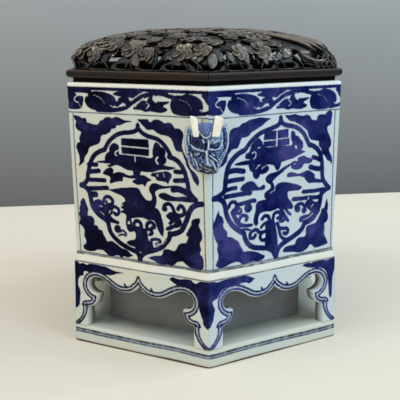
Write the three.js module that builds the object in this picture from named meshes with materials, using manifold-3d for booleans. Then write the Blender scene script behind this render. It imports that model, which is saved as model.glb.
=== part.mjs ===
// A hexagonal porcelain incense burner with a carved hardwood cover.
// The vessel is luted together from slabs: six tapering walls on a chamber floor, a recessed hexagonal
// core under it, an arcade of six arched apron panels in front of the core, and a plinth ring.
// Two horned beast masks are luted on opposite corners. The cover has six mitred rails, a seat frame
// whose tongue drops into the mouth, and a pierced dome of blossoms.
// Millimetres, +Z up. The origin is on the axis at the underside of the plinth, and a mask faces -Y.

import * as THREE from "three";
import { mergeVertices } from "three/addons/utils/BufferGeometryUtils.js";
import Module from "manifold-3d";

// Heights of the horizontal joints, from the table up.
const PLINTH_HEIGHT = 9.5;
const APRON_TOP = 44;
const SHOULDER_EDGE_TOP = 45.8;
const SHOULDER_TOP = 49;
const MOUTH_HEIGHT = 137.4;

// Distances from the axis to the middle of a side.
const FOOT_APOTHEM = 69.9;
const SHOULDER_APOTHEM = 68.9;
const WALL_FOOT_APOTHEM = 67.6;
const MOUTH_APOTHEM = 69.3;
const CORE_SETBACK = 18.4;
const CORE_APOTHEM = FOOT_APOTHEM - CORE_SETBACK;

// Slab thicknesses and the slip joint between two mitred slabs.
const WALL_THICKNESS = 5;
const APRON_THICKNESS = 5;
const CORE_THICKNESS = 5;
const LUTING_GAP = 0.3;
const PLINTH_EDGE_ROUND = 1.2;
const FOOT_RECESS = 1.5;
const FOOT_RIM_WIDTH = 6;

// The arch that is cut through each apron panel.
const ARCH_HALF_WIDTH = 32;
const ARCH_LEG_HEIGHT = 10.7;
const ARCH_NICK = 0.9;
const ARCH_LEAF_REACH = 6.2;
const ARCH_CUSP_HEIGHT = 18.3;
const ARCH_LOBE_TOP = 27.6;
const ARCH_LOBE_HALF_WIDTH = 5.4;
const ARCH_DIP_HALF_WIDTH = 10;
const ARCH_DIP_HEIGHT = 21.8;
const ARCH_TIP_HEIGHT = 26.4;
const ARCH_FOOT_DEPTH = 1;
const ARCH_STEPS = 7;

// The cover.
const SEAT_HEIGHT = 2.1;
const SEAT_INSET = 3;
const SEAT_WIDTH = 6;
const TONGUE_DEPTH = 6;
const TONGUE_CLEARANCE = 1;
const TONGUE_WIDTH = 3;
const RAIL_HEIGHT = 3.9;
const RAIL_OVERHANG = 0.3;
const RAIL_APOTHEM = MOUTH_APOTHEM + RAIL_OVERHANG;
const RAIL_WIDTH = 9;
const RAIL_ROUND = 2.4;
const DOME_SETBACK = 1.1;
const DOME_BASE_APOTHEM = RAIL_APOTHEM - DOME_SETBACK;
const DOME_HEIGHT = 21;
const DOME_SHOULDER_HEIGHT = 3;
const DOME_WALL = 5;

// The piercing of the dome: a row of slots over the rails, rings of leaf-shaped voids above it, and one
// six-sided void at the crown.
const SLOT_COUNT = 30;
const SLOT_HEIGHT = 3.2;
const SLOT_WIDTH = 10.4;
const VOID_LENGTH = 12.4;
const VOID_WIDTH = 7.2;
const VOID_TILT = 0.6;
const VOID_RINGS = [
  [0.21, 30],
  [0.45, 24],
  [0.62, 18],
  [0.77, 12],
  [0.9, 6],
];
const CROWN_VOID_RADIUS = 5.6;

// The beast masks.
const MASK_HEIGHT = 109;
const MASK_HALF_WIDTH = 11;
const MASK_HALF_HEIGHT = 12.2;
const MASK_REACH = 8.5;
const MASK_SEAT_GAP = 0.3;
const HORN_LENGTH = 10;
const HORN_LEAN = 1.9;
const HORN_ROOT_WIDTH = 2.8;
const HORN_TIP_WIDTH = 3.7;
const HORN_THICKNESS = 2.2;
const HORN_PEG_DEPTH = 2.5;
const HORN_SOCKET_GAP = 0.3;

const SIDES = 6;
const SIDE_ANGLE = (2 * Math.PI) / SIDES;
const HALF_SIDE_TAN = Math.tan(SIDE_ANGLE / 2);
const FIRST_SIDE = -Math.PI / 2 + SIDE_ANGLE / 2;

const wasm = await Module();
wasm.setup();

const GLAZED_PORCELAIN = { color: 0xdfe3dc, roughness: 0.18, metalness: 0 };
const BISCUIT = { color: 0xa59a92, roughness: 0.8, metalness: 0 };
const COBALT_MASK = { color: 0x5f78a8, roughness: 0.2, metalness: 0 };
const HORN_SLIP = { color: 0xf3efe6, roughness: 0.35, metalness: 0 };
const HARDWOOD = { color: 0x3a2b25, roughness: 0.4, metalness: 0 };

function solidOf(geometry) {
  const bare = new THREE.BufferGeometry();
  const plain = geometry.index ? geometry.toNonIndexed() : geometry;
  bare.setAttribute("position", plain.getAttribute("position"));
  const merged = mergeVertices(bare, 1e-4);
  return new wasm.Manifold(
    new wasm.Mesh({
      numProp: 3,
      vertProperties: new Float32Array(merged.attributes.position.array),
      triVerts: new Uint32Array(merged.index.array),
    }),
  );
}

function geometryOf(solid) {
  const { numProp, vertProperties, triVerts, numVert } = solid.getMesh();
  const positions = new Float32Array(numVert * 3);
  for (let i = 0; i < numVert; i++) {
    positions.set(vertProperties.subarray(i * numProp, i * numProp + 3), i * 3);
  }
  const geometry = new THREE.BufferGeometry();
  geometry.setAttribute("position", new THREE.BufferAttribute(positions, 3));
  geometry.setIndex(new THREE.BufferAttribute(new Uint32Array(triVerts), 1));
  geometry.computeVertexNormals();
  return geometry;
}

function joined(solids) {
  return solids.slice(1).reduce((whole, solid) => whole.add(solid), solids[0]);
}

// A closed skin over rows of points: each row is a closed loop, joined to the next one.
function skinned(rows, { closed = false } = {}) {
  const count = rows[0].length;
  const positions = rows.flat().flatMap((p) => [p.x, p.y, p.z]);
  const faces = [];
  const last = closed ? rows.length : rows.length - 1;
  for (let r = 0; r < last; r++) {
    const next = (r + 1) % rows.length;
    for (let i = 0; i < count; i++) {
      const j = (i + 1) % count;
      const [a, b] = [r * count + i, r * count + j];
      const [c, d] = [next * count + i, next * count + j];
      faces.push(a, b, d, a, d, c);
    }
  }
  if (!closed) {
    for (const [row, flip] of [[0, true], [rows.length - 1, false]]) {
      const flat = flattened(rows[row]);
      for (const [a, b, c] of THREE.ShapeUtils.triangulateShape(flat, [])) {
        const corner = [a, b, c].map((i) => row * count + i);
        faces.push(...(flip === isClockwise(flat) ? corner : corner.reverse()));
      }
    }
  }
  const geometry = new THREE.BufferGeometry();
  geometry.setAttribute("position", new THREE.Float32BufferAttribute(positions, 3));
  geometry.setIndex(faces);
  return geometry;
}

function isClockwise(points) {
  return THREE.ShapeUtils.isClockWise(points);
}

// A flat loop in space as 2-D points in its own plane.
function flattened(loop) {
  const normal = new THREE.Vector3();
  loop.forEach((p, i) => {
    normal.add(new THREE.Vector3().crossVectors(p, loop[(i + 1) % loop.length]));
  });
  normal.normalize();
  const across = Math.abs(normal.z) > 0.9 ? new THREE.Vector3(1, 0, 0) : new THREE.Vector3(0, 0, 1);
  const u = new THREE.Vector3().crossVectors(across, normal).normalize();
  const v = new THREE.Vector3().crossVectors(normal, u);
  return loop.map((p) => new THREE.Vector2(p.dot(u), p.dot(v)));
}

function rightWayOut(geometry) {
  const solid = solidOf(geometry);
  if (solid.volume() > 0) return solid;
  const index = Array.from(geometry.index.array);
  for (let i = 0; i < index.length; i += 3) {
    [index[i + 1], index[i + 2]] = [index[i + 2], index[i + 1]];
  }
  geometry.setIndex(index);
  return solidOf(geometry);
}

// The direction out of a side, and the direction along it.
function sideFrame(side) {
  const angle = FIRST_SIDE + side * SIDE_ANGLE;
  return {
    angle,
    out: new THREE.Vector3(Math.cos(angle), Math.sin(angle), 0),
    along: new THREE.Vector3(-Math.sin(angle), Math.cos(angle), 0),
  };
}

// One straight member of a hexagonal ring, mitred at both ends. The profile lists [apothem, height].
function mitredMember(side, profile, gap = LUTING_GAP) {
  const { out, along } = sideFrame(side);
  const endRow = (end) =>
    profile.map(([apothem, height]) => {
      const half = apothem * HALF_SIDE_TAN - gap / 2 / Math.cos(SIDE_ANGLE / 2);
      return out
        .clone()
        .multiplyScalar(apothem)
        .addScaledVector(along, end * half)
        .setZ(height);
    });
  return rightWayOut(skinned([endRow(-1), endRow(1)]));
}

// A whole hexagonal ring of one profile.
function hexagonalRing(profile) {
  const rows = Array.from({ length: SIDES }, (_, corner) => {
    const angle = FIRST_SIDE + (corner - 0.5) * SIDE_ANGLE;
    return profile.map(([apothem, height]) => {
      const radius = apothem / Math.cos(SIDE_ANGLE / 2);
      return new THREE.Vector3(radius * Math.cos(angle), radius * Math.sin(angle), height);
    });
  });
  return rightWayOut(skinned(rows, { closed: true }));
}

// A solid hexagonal block between two levels, each [apothem, height].
function hexagonalBlock(levels) {
  const rows = levels.map(([apothem, height]) =>
    Array.from({ length: SIDES }, (_, corner) => {
      const angle = FIRST_SIDE + (corner - 0.5) * SIDE_ANGLE;
      const radius = apothem / Math.cos(SIDE_ANGLE / 2);
      return new THREE.Vector3(radius * Math.cos(angle), radius * Math.sin(angle), height);
    }),
  );
  return rightWayOut(skinned(rows));
}

function meshOf(name, solid, material) {
  const mesh = new THREE.Mesh(geometryOf(solid), new THREE.MeshStandardMaterial(material));
  mesh.name = name;
  return mesh;
}

// The outer face of the wall at a height.
function wallApothem(height) {
  const share = (height - SHOULDER_TOP) / (MOUTH_HEIGHT - SHOULDER_TOP);
  return THREE.MathUtils.lerp(WALL_FOOT_APOTHEM, MOUTH_APOTHEM, share);
}

// The outer face of the arcade at a height.
function apronApothem(height) {
  return THREE.MathUtils.lerp(FOOT_APOTHEM, SHOULDER_APOTHEM, height / SHOULDER_EDGE_TOP);
}

function plinthRing() {
  const outer = apronApothem(PLINTH_HEIGHT);
  const inner = CORE_APOTHEM - CORE_THICKNESS;
  return hexagonalRing([
    [FOOT_APOTHEM - 0.4, 0],
    [FOOT_APOTHEM, 0.5],
    [outer, PLINTH_HEIGHT - PLINTH_EDGE_ROUND],
    [outer - PLINTH_EDGE_ROUND * 0.3, PLINTH_HEIGHT - PLINTH_EDGE_ROUND * 0.3],
    [outer - PLINTH_EDGE_ROUND, PLINTH_HEIGHT],
    [inner, PLINTH_HEIGHT],
    [inner, FOOT_RECESS],
    [FOOT_APOTHEM - FOOT_RIM_WIDTH, FOOT_RECESS],
    [FOOT_APOTHEM - FOOT_RIM_WIDTH, 0],
  ]);
}

function coreSlab(side) {
  return mitredMember(side, [
    [CORE_APOTHEM - CORE_THICKNESS, PLINTH_HEIGHT],
    [CORE_APOTHEM, PLINTH_HEIGHT],
    [CORE_APOTHEM, APRON_TOP],
    [CORE_APOTHEM - CORE_THICKNESS, APRON_TOP],
  ]);
}

// The arch outline, in the plane of the panel, with its foot at the plinth's top face. It goes up the
// leg, out round the leaf, round the lobe, down to the dip and up to the tip, with ratios for the bends.
function archShape() {
  const half = ARCH_HALF_WIDTH;
  const leg = ARCH_LEG_HEIGHT;
  const leaf = half - ARCH_LEAF_REACH;
  const lobe = half - ARCH_LOBE_HALF_WIDTH;
  const lobeHeight = (ARCH_CUSP_HEIGHT + ARCH_LOBE_TOP) / 2;
  const lobeRadius = (ARCH_LOBE_TOP - ARCH_CUSP_HEIGHT) / 2;
  const dip = ARCH_DIP_HALF_WIDTH;
  const bend = (lobe - dip) * 0.42;
  const leafBend = leg + (ARCH_CUSP_HEIGHT - leg) * 0.4;
  const tipBend = ARCH_DIP_HEIGHT + (ARCH_TIP_HEIGHT - ARCH_DIP_HEIGHT) * 0.4;
  const shape = new THREE.Path();
  shape.moveTo(half, -ARCH_FOOT_DEPTH);
  shape.lineTo(half, leg - ARCH_NICK / 2);
  shape.lineTo(half + ARCH_NICK, leg);
  shape.bezierCurveTo(half - ARCH_LEAF_REACH * 0.6, leg, leaf, leafBend, leaf, ARCH_CUSP_HEIGHT);
  shape.absellipse(lobe, lobeHeight, ARCH_LOBE_HALF_WIDTH, lobeRadius, -1.4, Math.PI / 2, false);
  shape.bezierCurveTo(lobe - bend, ARCH_LOBE_TOP, dip + bend, ARCH_DIP_HEIGHT, dip, ARCH_DIP_HEIGHT);
  shape.bezierCurveTo(dip * 0.5, ARCH_DIP_HEIGHT, dip * 0.2, tipBend, 0, ARCH_TIP_HEIGHT);
  const right = shape.getPoints(ARCH_STEPS);
  const left = right.slice(0, -1).reverse().map(({ x, y }) => new THREE.Vector2(-x, y));
  return new THREE.Shape([...right, ...left]);
}

function apronPanel(side) {
  const slab = mitredMember(side, [
    [apronApothem(PLINTH_HEIGHT) - APRON_THICKNESS, PLINTH_HEIGHT],
    [apronApothem(PLINTH_HEIGHT), PLINTH_HEIGHT],
    [apronApothem(APRON_TOP), APRON_TOP],
    [apronApothem(APRON_TOP) - APRON_THICKNESS, APRON_TOP],
  ]);
  const { angle, out } = sideFrame(side);
  const cutDepth = APRON_THICKNESS * 3;
  const arch = new THREE.ExtrudeGeometry(archShape(), { depth: cutDepth, bevelEnabled: false });
  arch.rotateX(Math.PI / 2);
  arch.rotateZ(angle + Math.PI / 2);
  const middle = FOOT_APOTHEM - APRON_THICKNESS / 2 - cutDepth / 2;
  arch.translate(out.x * middle, out.y * middle, PLINTH_HEIGHT);
  return slab.subtract(solidOf(arch));
}

// The floor slab runs out to the face of the vessel, where its edge is the sloping shoulder.
function chamberFloor() {
  return hexagonalBlock([
    [apronApothem(APRON_TOP), APRON_TOP],
    [apronApothem(SHOULDER_EDGE_TOP), SHOULDER_EDGE_TOP],
    [WALL_FOOT_APOTHEM, SHOULDER_TOP],
  ]);
}

function wallSlab(side) {
  return mitredMember(side, [
    [WALL_FOOT_APOTHEM - WALL_THICKNESS, SHOULDER_TOP],
    [WALL_FOOT_APOTHEM, SHOULDER_TOP],
    [MOUTH_APOTHEM, MOUTH_HEIGHT - 0.8],
    [MOUTH_APOTHEM - 0.8, MOUTH_HEIGHT],
    [MOUTH_APOTHEM - WALL_THICKNESS + 0.8, MOUTH_HEIGHT],
    [MOUTH_APOTHEM - WALL_THICKNESS, MOUTH_HEIGHT - 0.8],
  ]);
}

// A mask is modelled facing -Y, in front of the corner there, and the back one is turned half round.
const CORNER_RADIUS = wallApothem(MASK_HEIGHT) / Math.cos(SIDE_ANGLE / 2);
const MASK_FACE_Y = -CORNER_RADIUS;

// The forms of a mask, in half widths, reaches and half heights: centre first, then radii.
const MASK_FORMS = {
  skull: [0, -0.1, 0.08, 0.86, 0.78, 0.9],
  forehead: [0, 0.4, 0.52, 0.36, 0.4, 0.42],
  muzzle: [0, 0.46, -0.64, 0.52, 0.5, 0.36],
  nose: [0, 0.8, -0.5, 0.24, 0.2, 0.15],
};
const MASK_PAIRED_FORMS = {
  brow: [0.42, 0.42, 0.14, 0.36, 0.34, 0.24],
  eye: [0.4, 0.5, -0.18, 0.22, 0.22, 0.14],
  ear: [0.84, -0.3, 0.16, 0.16, 0.4, 0.66],
  cheek: [0.58, 0.06, -0.4, 0.26, 0.42, 0.36],
  nostril: [0.26, 0.68, -0.62, 0.24, 0.24, 0.18],
};

function maskForm([across, forward, up, halfWidth, halfDepth, halfHeight], hand) {
  const geometry = new THREE.SphereGeometry(1, 10, 6);
  geometry.rotateX(Math.PI / 2);
  geometry.scale(
    halfWidth * MASK_HALF_WIDTH,
    halfDepth * MASK_REACH,
    halfHeight * MASK_HALF_HEIGHT,
  );
  geometry.translate(
    hand * across * MASK_HALF_WIDTH,
    MASK_FACE_Y - forward * MASK_REACH,
    MASK_HEIGHT + up * MASK_HALF_HEIGHT,
  );
  return solidOf(geometry);
}

// A flat horn that widens upwards and leans out, with rounded edges. grow makes its socket.
function horn(hand, grow = 0) {
  const rootX = MASK_HALF_WIDTH * 0.4;
  const rootZ = MASK_HEIGHT + MASK_HALF_HEIGHT * 0.49;
  const y = MASK_FACE_Y - MASK_REACH * 0.52;
  const levels = [-HORN_PEG_DEPTH - grow, 0, HORN_LENGTH * 0.5, HORN_LENGTH * 0.9, HORN_LENGTH];
  const rows = levels.map((level, i) => {
    const share = level / HORN_LENGTH;
    const tip = i === levels.length - 1 ? 0.6 : 1;
    const half = (THREE.MathUtils.lerp(HORN_ROOT_WIDTH, HORN_TIP_WIDTH, Math.max(share, 0)) / 2) * tip;
    const deep = (HORN_THICKNESS / 2) * tip;
    const shape = new THREE.Shape().absellipse(0, 0, half + grow, deep + grow, 0, 2 * Math.PI);
    return shape
      .getPoints(6)
      .slice(0, -1)
      .map((p) => new THREE.Vector3(hand * (rootX + share * HORN_LEAN + p.x), y + p.y, rootZ + level));
  });
  return rightWayOut(skinned(rows));
}

function beastHead() {
  const features = Object.values(MASK_FORMS).map((form) => maskForm(form, 1));
  for (const form of Object.values(MASK_PAIRED_FORMS)) {
    features.push(maskForm(form, -1), maskForm(form, 1));
  }
  const corner = hexagonalBlock([
    [WALL_FOOT_APOTHEM + MASK_SEAT_GAP, SHOULDER_TOP],
    [MOUTH_APOTHEM + MASK_SEAT_GAP, MOUTH_HEIGHT],
  ]);
  const sockets = joined([-1, 1].map((hand) => horn(hand, HORN_SOCKET_GAP)));
  return joined(features).subtract(corner).subtract(sockets);
}

// Levels of the cover, from the mouth up.
const SEAT_TOP = MOUTH_HEIGHT + SEAT_HEIGHT;
const RAIL_TOP = SEAT_TOP + RAIL_HEIGHT;
const MOUTH_INNER_APOTHEM = MOUTH_APOTHEM - WALL_THICKNESS;

function seatStrip(side) {
  const outer = MOUTH_APOTHEM - SEAT_INSET;
  return mitredMember(side, [
    [outer - SEAT_WIDTH, MOUTH_HEIGHT],
    [outer, MOUTH_HEIGHT],
    [outer, SEAT_TOP],
    [outer - SEAT_WIDTH, SEAT_TOP],
  ]);
}

function tongueStrip(side) {
  const outer = MOUTH_INNER_APOTHEM - TONGUE_CLEARANCE;
  return mitredMember(side, [
    [outer - TONGUE_WIDTH, MOUTH_HEIGHT - TONGUE_DEPTH],
    [outer - 0.6, MOUTH_HEIGHT - TONGUE_DEPTH],
    [outer, MOUTH_HEIGHT - TONGUE_DEPTH + 0.6],
    [outer, MOUTH_HEIGHT],
    [outer - TONGUE_WIDTH, MOUTH_HEIGHT],
  ]);
}

function coverRail(side) {
  return mitredMember(side, [
    [RAIL_APOTHEM - RAIL_WIDTH, SEAT_TOP],
    [RAIL_APOTHEM - RAIL_ROUND, SEAT_TOP],
    [RAIL_APOTHEM - RAIL_ROUND * 0.46, SEAT_TOP + RAIL_HEIGHT * 0.09],
    [RAIL_APOTHEM - RAIL_ROUND * 0.12, SEAT_TOP + RAIL_HEIGHT * 0.28],
    [RAIL_APOTHEM, SEAT_TOP + RAIL_HEIGHT * 0.51],
    [RAIL_APOTHEM - RAIL_ROUND * 0.04, SEAT_TOP + RAIL_HEIGHT * 0.77],
    [RAIL_APOTHEM - RAIL_ROUND * 0.2, RAIL_TOP - RAIL_HEIGHT * 0.06],
    [RAIL_APOTHEM - RAIL_ROUND * 0.38, RAIL_TOP],
    [RAIL_APOTHEM - RAIL_WIDTH, RAIL_TOP],
  ]);
}

// The dome's outer surface: a cushion over a hexagon whose corners soften towards the crown.
const DOME_ROUNDNESS = 0.81;
const DOME_RISE = 0.84;
const DOME_CORNERS = { base: 48, crown: 10, fade: 1.54 };
const DOME_BEARINGS = 36;
const DOME_LEVELS = 8;

function domePoint(bearing, share, inset = 0) {
  const turn = (share * Math.PI) / 2;
  const apothem = (DOME_BASE_APOTHEM - inset) * Math.pow(Math.cos(turn), DOME_ROUNDNESS);
  const shoulder = DOME_SHOULDER_HEIGHT * Math.min(1, share * 3.2);
  const height = (DOME_HEIGHT - inset - DOME_SHOULDER_HEIGHT) * Math.pow(Math.sin(turn), DOME_RISE);
  const { base, crown, fade } = DOME_CORNERS;
  const sharpness = THREE.MathUtils.lerp(base, crown, Math.min(1, share * fade));
  let sum = 0;
  for (let side = 0; side < SIDES / 2; side++) {
    sum += Math.pow(Math.abs(Math.cos(bearing - FIRST_SIDE - side * SIDE_ANGLE)), sharpness);
  }
  const radius = apothem * Math.pow(sum, -1 / sharpness);
  const level = RAIL_TOP + height + shoulder;
  return new THREE.Vector3(radius * Math.cos(bearing), radius * Math.sin(bearing), level);
}

function domeBlock(inset, drop) {
  const rows = [];
  for (let level = 0; level < DOME_LEVELS; level++) {
    const share = Math.pow(level / DOME_LEVELS, 1.2);
    rows.push(
      Array.from({ length: DOME_BEARINGS }, (_, i) => {
        const point = domePoint((i / DOME_BEARINGS) * 2 * Math.PI, share, inset);
        if (level === 0) point.z -= drop;
        return point;
      }),
    );
  }
  return rightWayOut(skinned(rows));
}

// A cutter through the dome at a place on it, for a shape whose Y runs up the dome.
function domeCutter(shape, bearing, share, tilt) {
  const step = 0.01;
  const point = domePoint(bearing, share);
  const around = domePoint(bearing + step, share).sub(domePoint(bearing - step, share)).normalize();
  const upward = domePoint(bearing, share + step).sub(point).normalize();
  const normal = new THREE.Vector3().crossVectors(around, upward).normalize();
  upward.crossVectors(normal, around);
  const depth = DOME_WALL * 2.2;
  const prism = new THREE.ExtrudeGeometry(shape, { depth, bevelEnabled: false });
  prism.translate(0, 0, -depth * 0.8);
  prism.rotateZ(tilt);
  prism.applyMatrix4(new THREE.Matrix4().makeBasis(around, upward, normal).setPosition(point));
  return solidOf(prism);
}

function piercedDome() {
  const long = VOID_LENGTH / 2;
  const wide = VOID_WIDTH / 2;
  const leaf = new THREE.Shape(
    [[-long, 0], [-long * 0.4, -wide], [long * 0.4, -wide], [long, 0], [long * 0.4, wide], [-long * 0.4, wide]]
      .map(([x, y]) => new THREE.Vector2(x, y)),
  );
  const cutters = [];
  VOID_RINGS.forEach(([share, count], ring) => {
    for (let i = 0; i < count; i++) {
      const bearing = ((i + 0.5 * (ring % 2)) / count) * 2 * Math.PI;
      cutters.push(domeCutter(leaf, bearing, share, (i % 2 ? 1 : -1) * VOID_TILT));
    }
  });
  for (let i = 0; i < SLOT_COUNT; i++) {
    const bearing = ((i + 0.5) / SLOT_COUNT) * 2 * Math.PI;
    const slot = new THREE.BoxGeometry(DOME_WALL * 5, SLOT_WIDTH, SLOT_HEIGHT);
    slot.translate(Math.hypot(domePoint(bearing, 0).x, domePoint(bearing, 0).y), 0, 0);
    slot.rotateZ(bearing);
    slot.translate(0, 0, RAIL_TOP + SLOT_HEIGHT * 0.5 + 1);
    cutters.push(solidOf(slot));
  }
  const crown = new THREE.CylinderGeometry(CROWN_VOID_RADIUS, CROWN_VOID_RADIUS, DOME_WALL * 4, SIDES);
  crown.rotateX(Math.PI / 2);
  crown.translate(0, 0, RAIL_TOP + DOME_HEIGHT);
  cutters.push(solidOf(crown));
  return domeBlock(0, 0).subtract(domeBlock(DOME_WALL, 1)).subtract(joined(cutters));
}

const burner = new THREE.Group();
const vessel = new THREE.Group();
const cover = new THREE.Group();

vessel.add(meshOf("plinth_ring", plinthRing(), GLAZED_PORCELAIN));
vessel.add(meshOf("chamber_floor", chamberFloor(), GLAZED_PORCELAIN));
for (let side = 0; side < SIDES; side++) {
  vessel.add(meshOf(`core_slab_${side + 1}`, coreSlab(side), BISCUIT));
  vessel.add(meshOf(`apron_panel_${side + 1}`, apronPanel(side), GLAZED_PORCELAIN));
  vessel.add(meshOf(`wall_slab_${side + 1}`, wallSlab(side), GLAZED_PORCELAIN));
  cover.add(meshOf(`cover_rail_${side + 1}`, coverRail(side), HARDWOOD));
  cover.add(meshOf(`seat_strip_${side + 1}`, seatStrip(side), HARDWOOD));
  cover.add(meshOf(`tongue_strip_${side + 1}`, tongueStrip(side), HARDWOOD));
}
for (const [place, turn] of [["front", 0], ["back", Math.PI]]) {
  const mask = new THREE.Group();
  mask.rotation.z = turn;
  mask.add(meshOf(`${place}_mask`, beastHead(), COBALT_MASK));
  mask.add(meshOf(`${place}_mask_left_horn`, horn(-1), HORN_SLIP));
  mask.add(meshOf(`${place}_mask_right_horn`, horn(1), HORN_SLIP));
  vessel.add(mask);
}
cover.add(meshOf("carved_dome", piercedDome(), HARDWOOD));
burner.add(vessel, cover);

export default burner;
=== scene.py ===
"""A hexagonal blue-and-white porcelain incense burner with a carved hardwood cover.

The vessel is dressed in painted and glazed skins, one to each slab of the construction, with two
horned beast masks on opposite corners. The cover has moulded rails and a pierced dome of blossoms,
leaves and stems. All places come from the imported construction, in metres.
"""

import math
import random

import bmesh
import bpy
import numpy as np
from mathutils import Matrix, Vector, kdtree
from mathutils.geometry import delaunay_2d_cdt


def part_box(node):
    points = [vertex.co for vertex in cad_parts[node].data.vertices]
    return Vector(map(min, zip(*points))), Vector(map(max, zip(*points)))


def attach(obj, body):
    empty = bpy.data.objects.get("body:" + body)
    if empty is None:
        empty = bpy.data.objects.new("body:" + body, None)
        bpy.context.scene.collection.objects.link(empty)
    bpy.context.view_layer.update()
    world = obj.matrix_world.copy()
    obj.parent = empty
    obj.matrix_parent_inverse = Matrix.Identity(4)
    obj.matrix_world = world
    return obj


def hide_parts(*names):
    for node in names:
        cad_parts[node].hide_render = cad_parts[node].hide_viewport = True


bl_info = {
    "name": "Hexagonal Incense Burner",
    "version": (1, 0, 0),
    "blender": (4, 5, 0),
    "location": "View3D > Sidebar > Censer",
    "description": "Builds a painted porcelain incense burner with a carved hardwood cover",
    "category": "Object",
}

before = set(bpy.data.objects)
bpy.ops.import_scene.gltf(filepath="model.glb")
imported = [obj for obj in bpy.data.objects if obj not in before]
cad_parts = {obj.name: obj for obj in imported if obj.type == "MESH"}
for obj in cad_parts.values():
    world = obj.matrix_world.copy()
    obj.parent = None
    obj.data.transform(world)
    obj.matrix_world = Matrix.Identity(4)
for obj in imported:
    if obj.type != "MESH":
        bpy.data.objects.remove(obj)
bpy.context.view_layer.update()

MM = 0.001
SIDES = range(1, 7)
TAN_HALF_SIDE = math.tan(math.radians(30))

# Heights and distances from the axis, from the construction.
FOOT_APOTHEM, _, PLINTH_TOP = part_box("plinth_ring")[1]
STAND_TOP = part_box("chamber_floor")[0].z
SHOULDER_APOTHEM, _, SHOULDER_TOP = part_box("chamber_floor")[1]
MOUTH_APOTHEM, _, MOUTH_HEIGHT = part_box("wall_slab_2")[1]
RAIL_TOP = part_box("cover_rail_2")[1].z
DOME_APOTHEM, _, DOME_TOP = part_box("carved_dome")[1]
CORE_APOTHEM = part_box("core_slab_2")[1].x
WALL_FOOT_APOTHEM = MOUTH_APOTHEM - 1.7 * MM
SHOULDER_EDGE_TOP = STAND_TOP + 1.8 * MM
WALL_THICKNESS = 5 * MM


def linear(code):
    """A written sRGB hex colour as the linear colour that sockets hold."""
    channels = [int(code[i : i + 2], 16) / 255 for i in (1, 3, 5)]
    return [c / 12.92 if c <= 0.04045 else ((c + 0.055) / 1.055) ** 2.4 for c in channels] + [1.0]


def add(tree, kind, inputs=(), **settings):
    """Adds a node with its settings. inputs pairs a socket with a value, or with the socket that feeds it."""
    made = tree.nodes.new(kind)
    for name, value in settings.items():
        setattr(made, name, value)
    for name, value in dict(inputs).items():
        if isinstance(value, bpy.types.NodeSocket):
            tree.links.new(value, made.inputs[name])
        else:
            made.inputs[name].default_value = value
    return made


def new_material(name):
    """An empty material with its node tree."""
    material = bpy.data.materials.new(name)
    material.use_nodes = True
    material.node_tree.nodes.clear()
    return material, material.node_tree


def ramp(tree, factor, stops, interpolation="EASE"):
    """A colour ramp from pairs of place and hex colour."""
    stops = list(stops)
    made = add(tree, "ShaderNodeValToRGB", {"Fac": factor})
    made.color_ramp.interpolation = interpolation
    elements = made.color_ramp.elements
    while len(elements) < len(stops):
        elements.new(0.5)
    for element, (place, code) in zip(elements, stops):
        element.position = place
        element.color = linear(code)
    return made.outputs["Color"]


def blend(tree, factor, under, over):
    """under where factor is 0, over where it is 1. over is a colour socket or a hex colour."""
    over = linear(over) if isinstance(over, str) else over
    return add(tree, "ShaderNodeMix", {0: factor, 6: under, 7: over}, data_type="RGBA").outputs[2]


def calculate(tree, operation, *terms):
    """One step of arithmetic on numbers and sockets."""
    return add(tree, "ShaderNodeMath", dict(enumerate(terms)), operation=operation).outputs[0]


def fade(tree, value, start, end, most=1.0, least=0.0, interpolation="LINEAR"):
    """least where a value is at start or short of it, rising to most where it is at end or past it."""
    limits = {"Value": value, "From Min": start, "From Max": end, "To Min": least, "To Max": most}
    return add(tree, "ShaderNodeMapRange", limits, interpolation_type=interpolation).outputs["Result"]


def along_axis(tree, axis="Z"):
    """How far each place of a piece lies along an axis."""
    place = add(tree, "ShaderNodeTexCoord").outputs["Object"]
    return add(tree, "ShaderNodeSeparateXYZ", {"Vector": place}).outputs[axis]


def stored(tree, name):
    """The three numbers that each vertex keeps under a name."""
    kept = add(tree, "ShaderNodeAttribute", attribute_name=name).outputs["Vector"]
    return add(tree, "ShaderNodeSeparateXYZ", {"Vector": kept}).outputs


def object_noise(tree, scale, detail=3.0, roughness=0.5):
    """Noise fixed to the piece, its scale in cells to the metre."""
    place = add(tree, "ShaderNodeTexCoord").outputs["Object"]
    inputs = {"Vector": place, "Scale": scale, "Detail": detail, "Roughness": roughness}
    return add(tree, "ShaderNodeTexNoise", inputs).outputs["Fac"]


def close_shader(tree, inputs, height=None, bump=0.0, bump_distance=0.0002):
    """Joins a principled surface to the output, with a bump from a height where there is one."""
    surface = add(tree, "ShaderNodeBsdfPrincipled", inputs)
    if height is not None:
        relief = add(tree, "ShaderNodeBump", {"Strength": bump, "Distance": bump_distance, "Height": height})
        tree.links.new(relief.outputs["Normal"], surface.inputs["Normal"])
    add(tree, "ShaderNodeOutputMaterial", {"Surface": surface.outputs["BSDF"]})


GLAZE_TINTS = ("#c9d1cb", "#cfd0c4")
GLAZE_GLOSS = {"Roughness": 0.14, "IOR": 1.5, "Specular IOR Level": 0.05}


def glaze_base(tree, tints):
    """Clear glaze over a white body. It pools to a faint green or blue."""
    return ramp(tree, object_noise(tree, 28.0), zip((0.35, 0.65), tints))


def painted_share(tree, wobble, layer, soft, ragged, grow=0.0, most=1.0):
    """How far paint covers a place, from its distance to the paint's edge, which is soft and ragged."""
    edge = calculate(tree, "MULTIPLY_ADD", wobble, ragged, layer)
    return fade(tree, edge, grow + soft, grow - soft, most, interpolation="SMOOTHSTEP")


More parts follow.
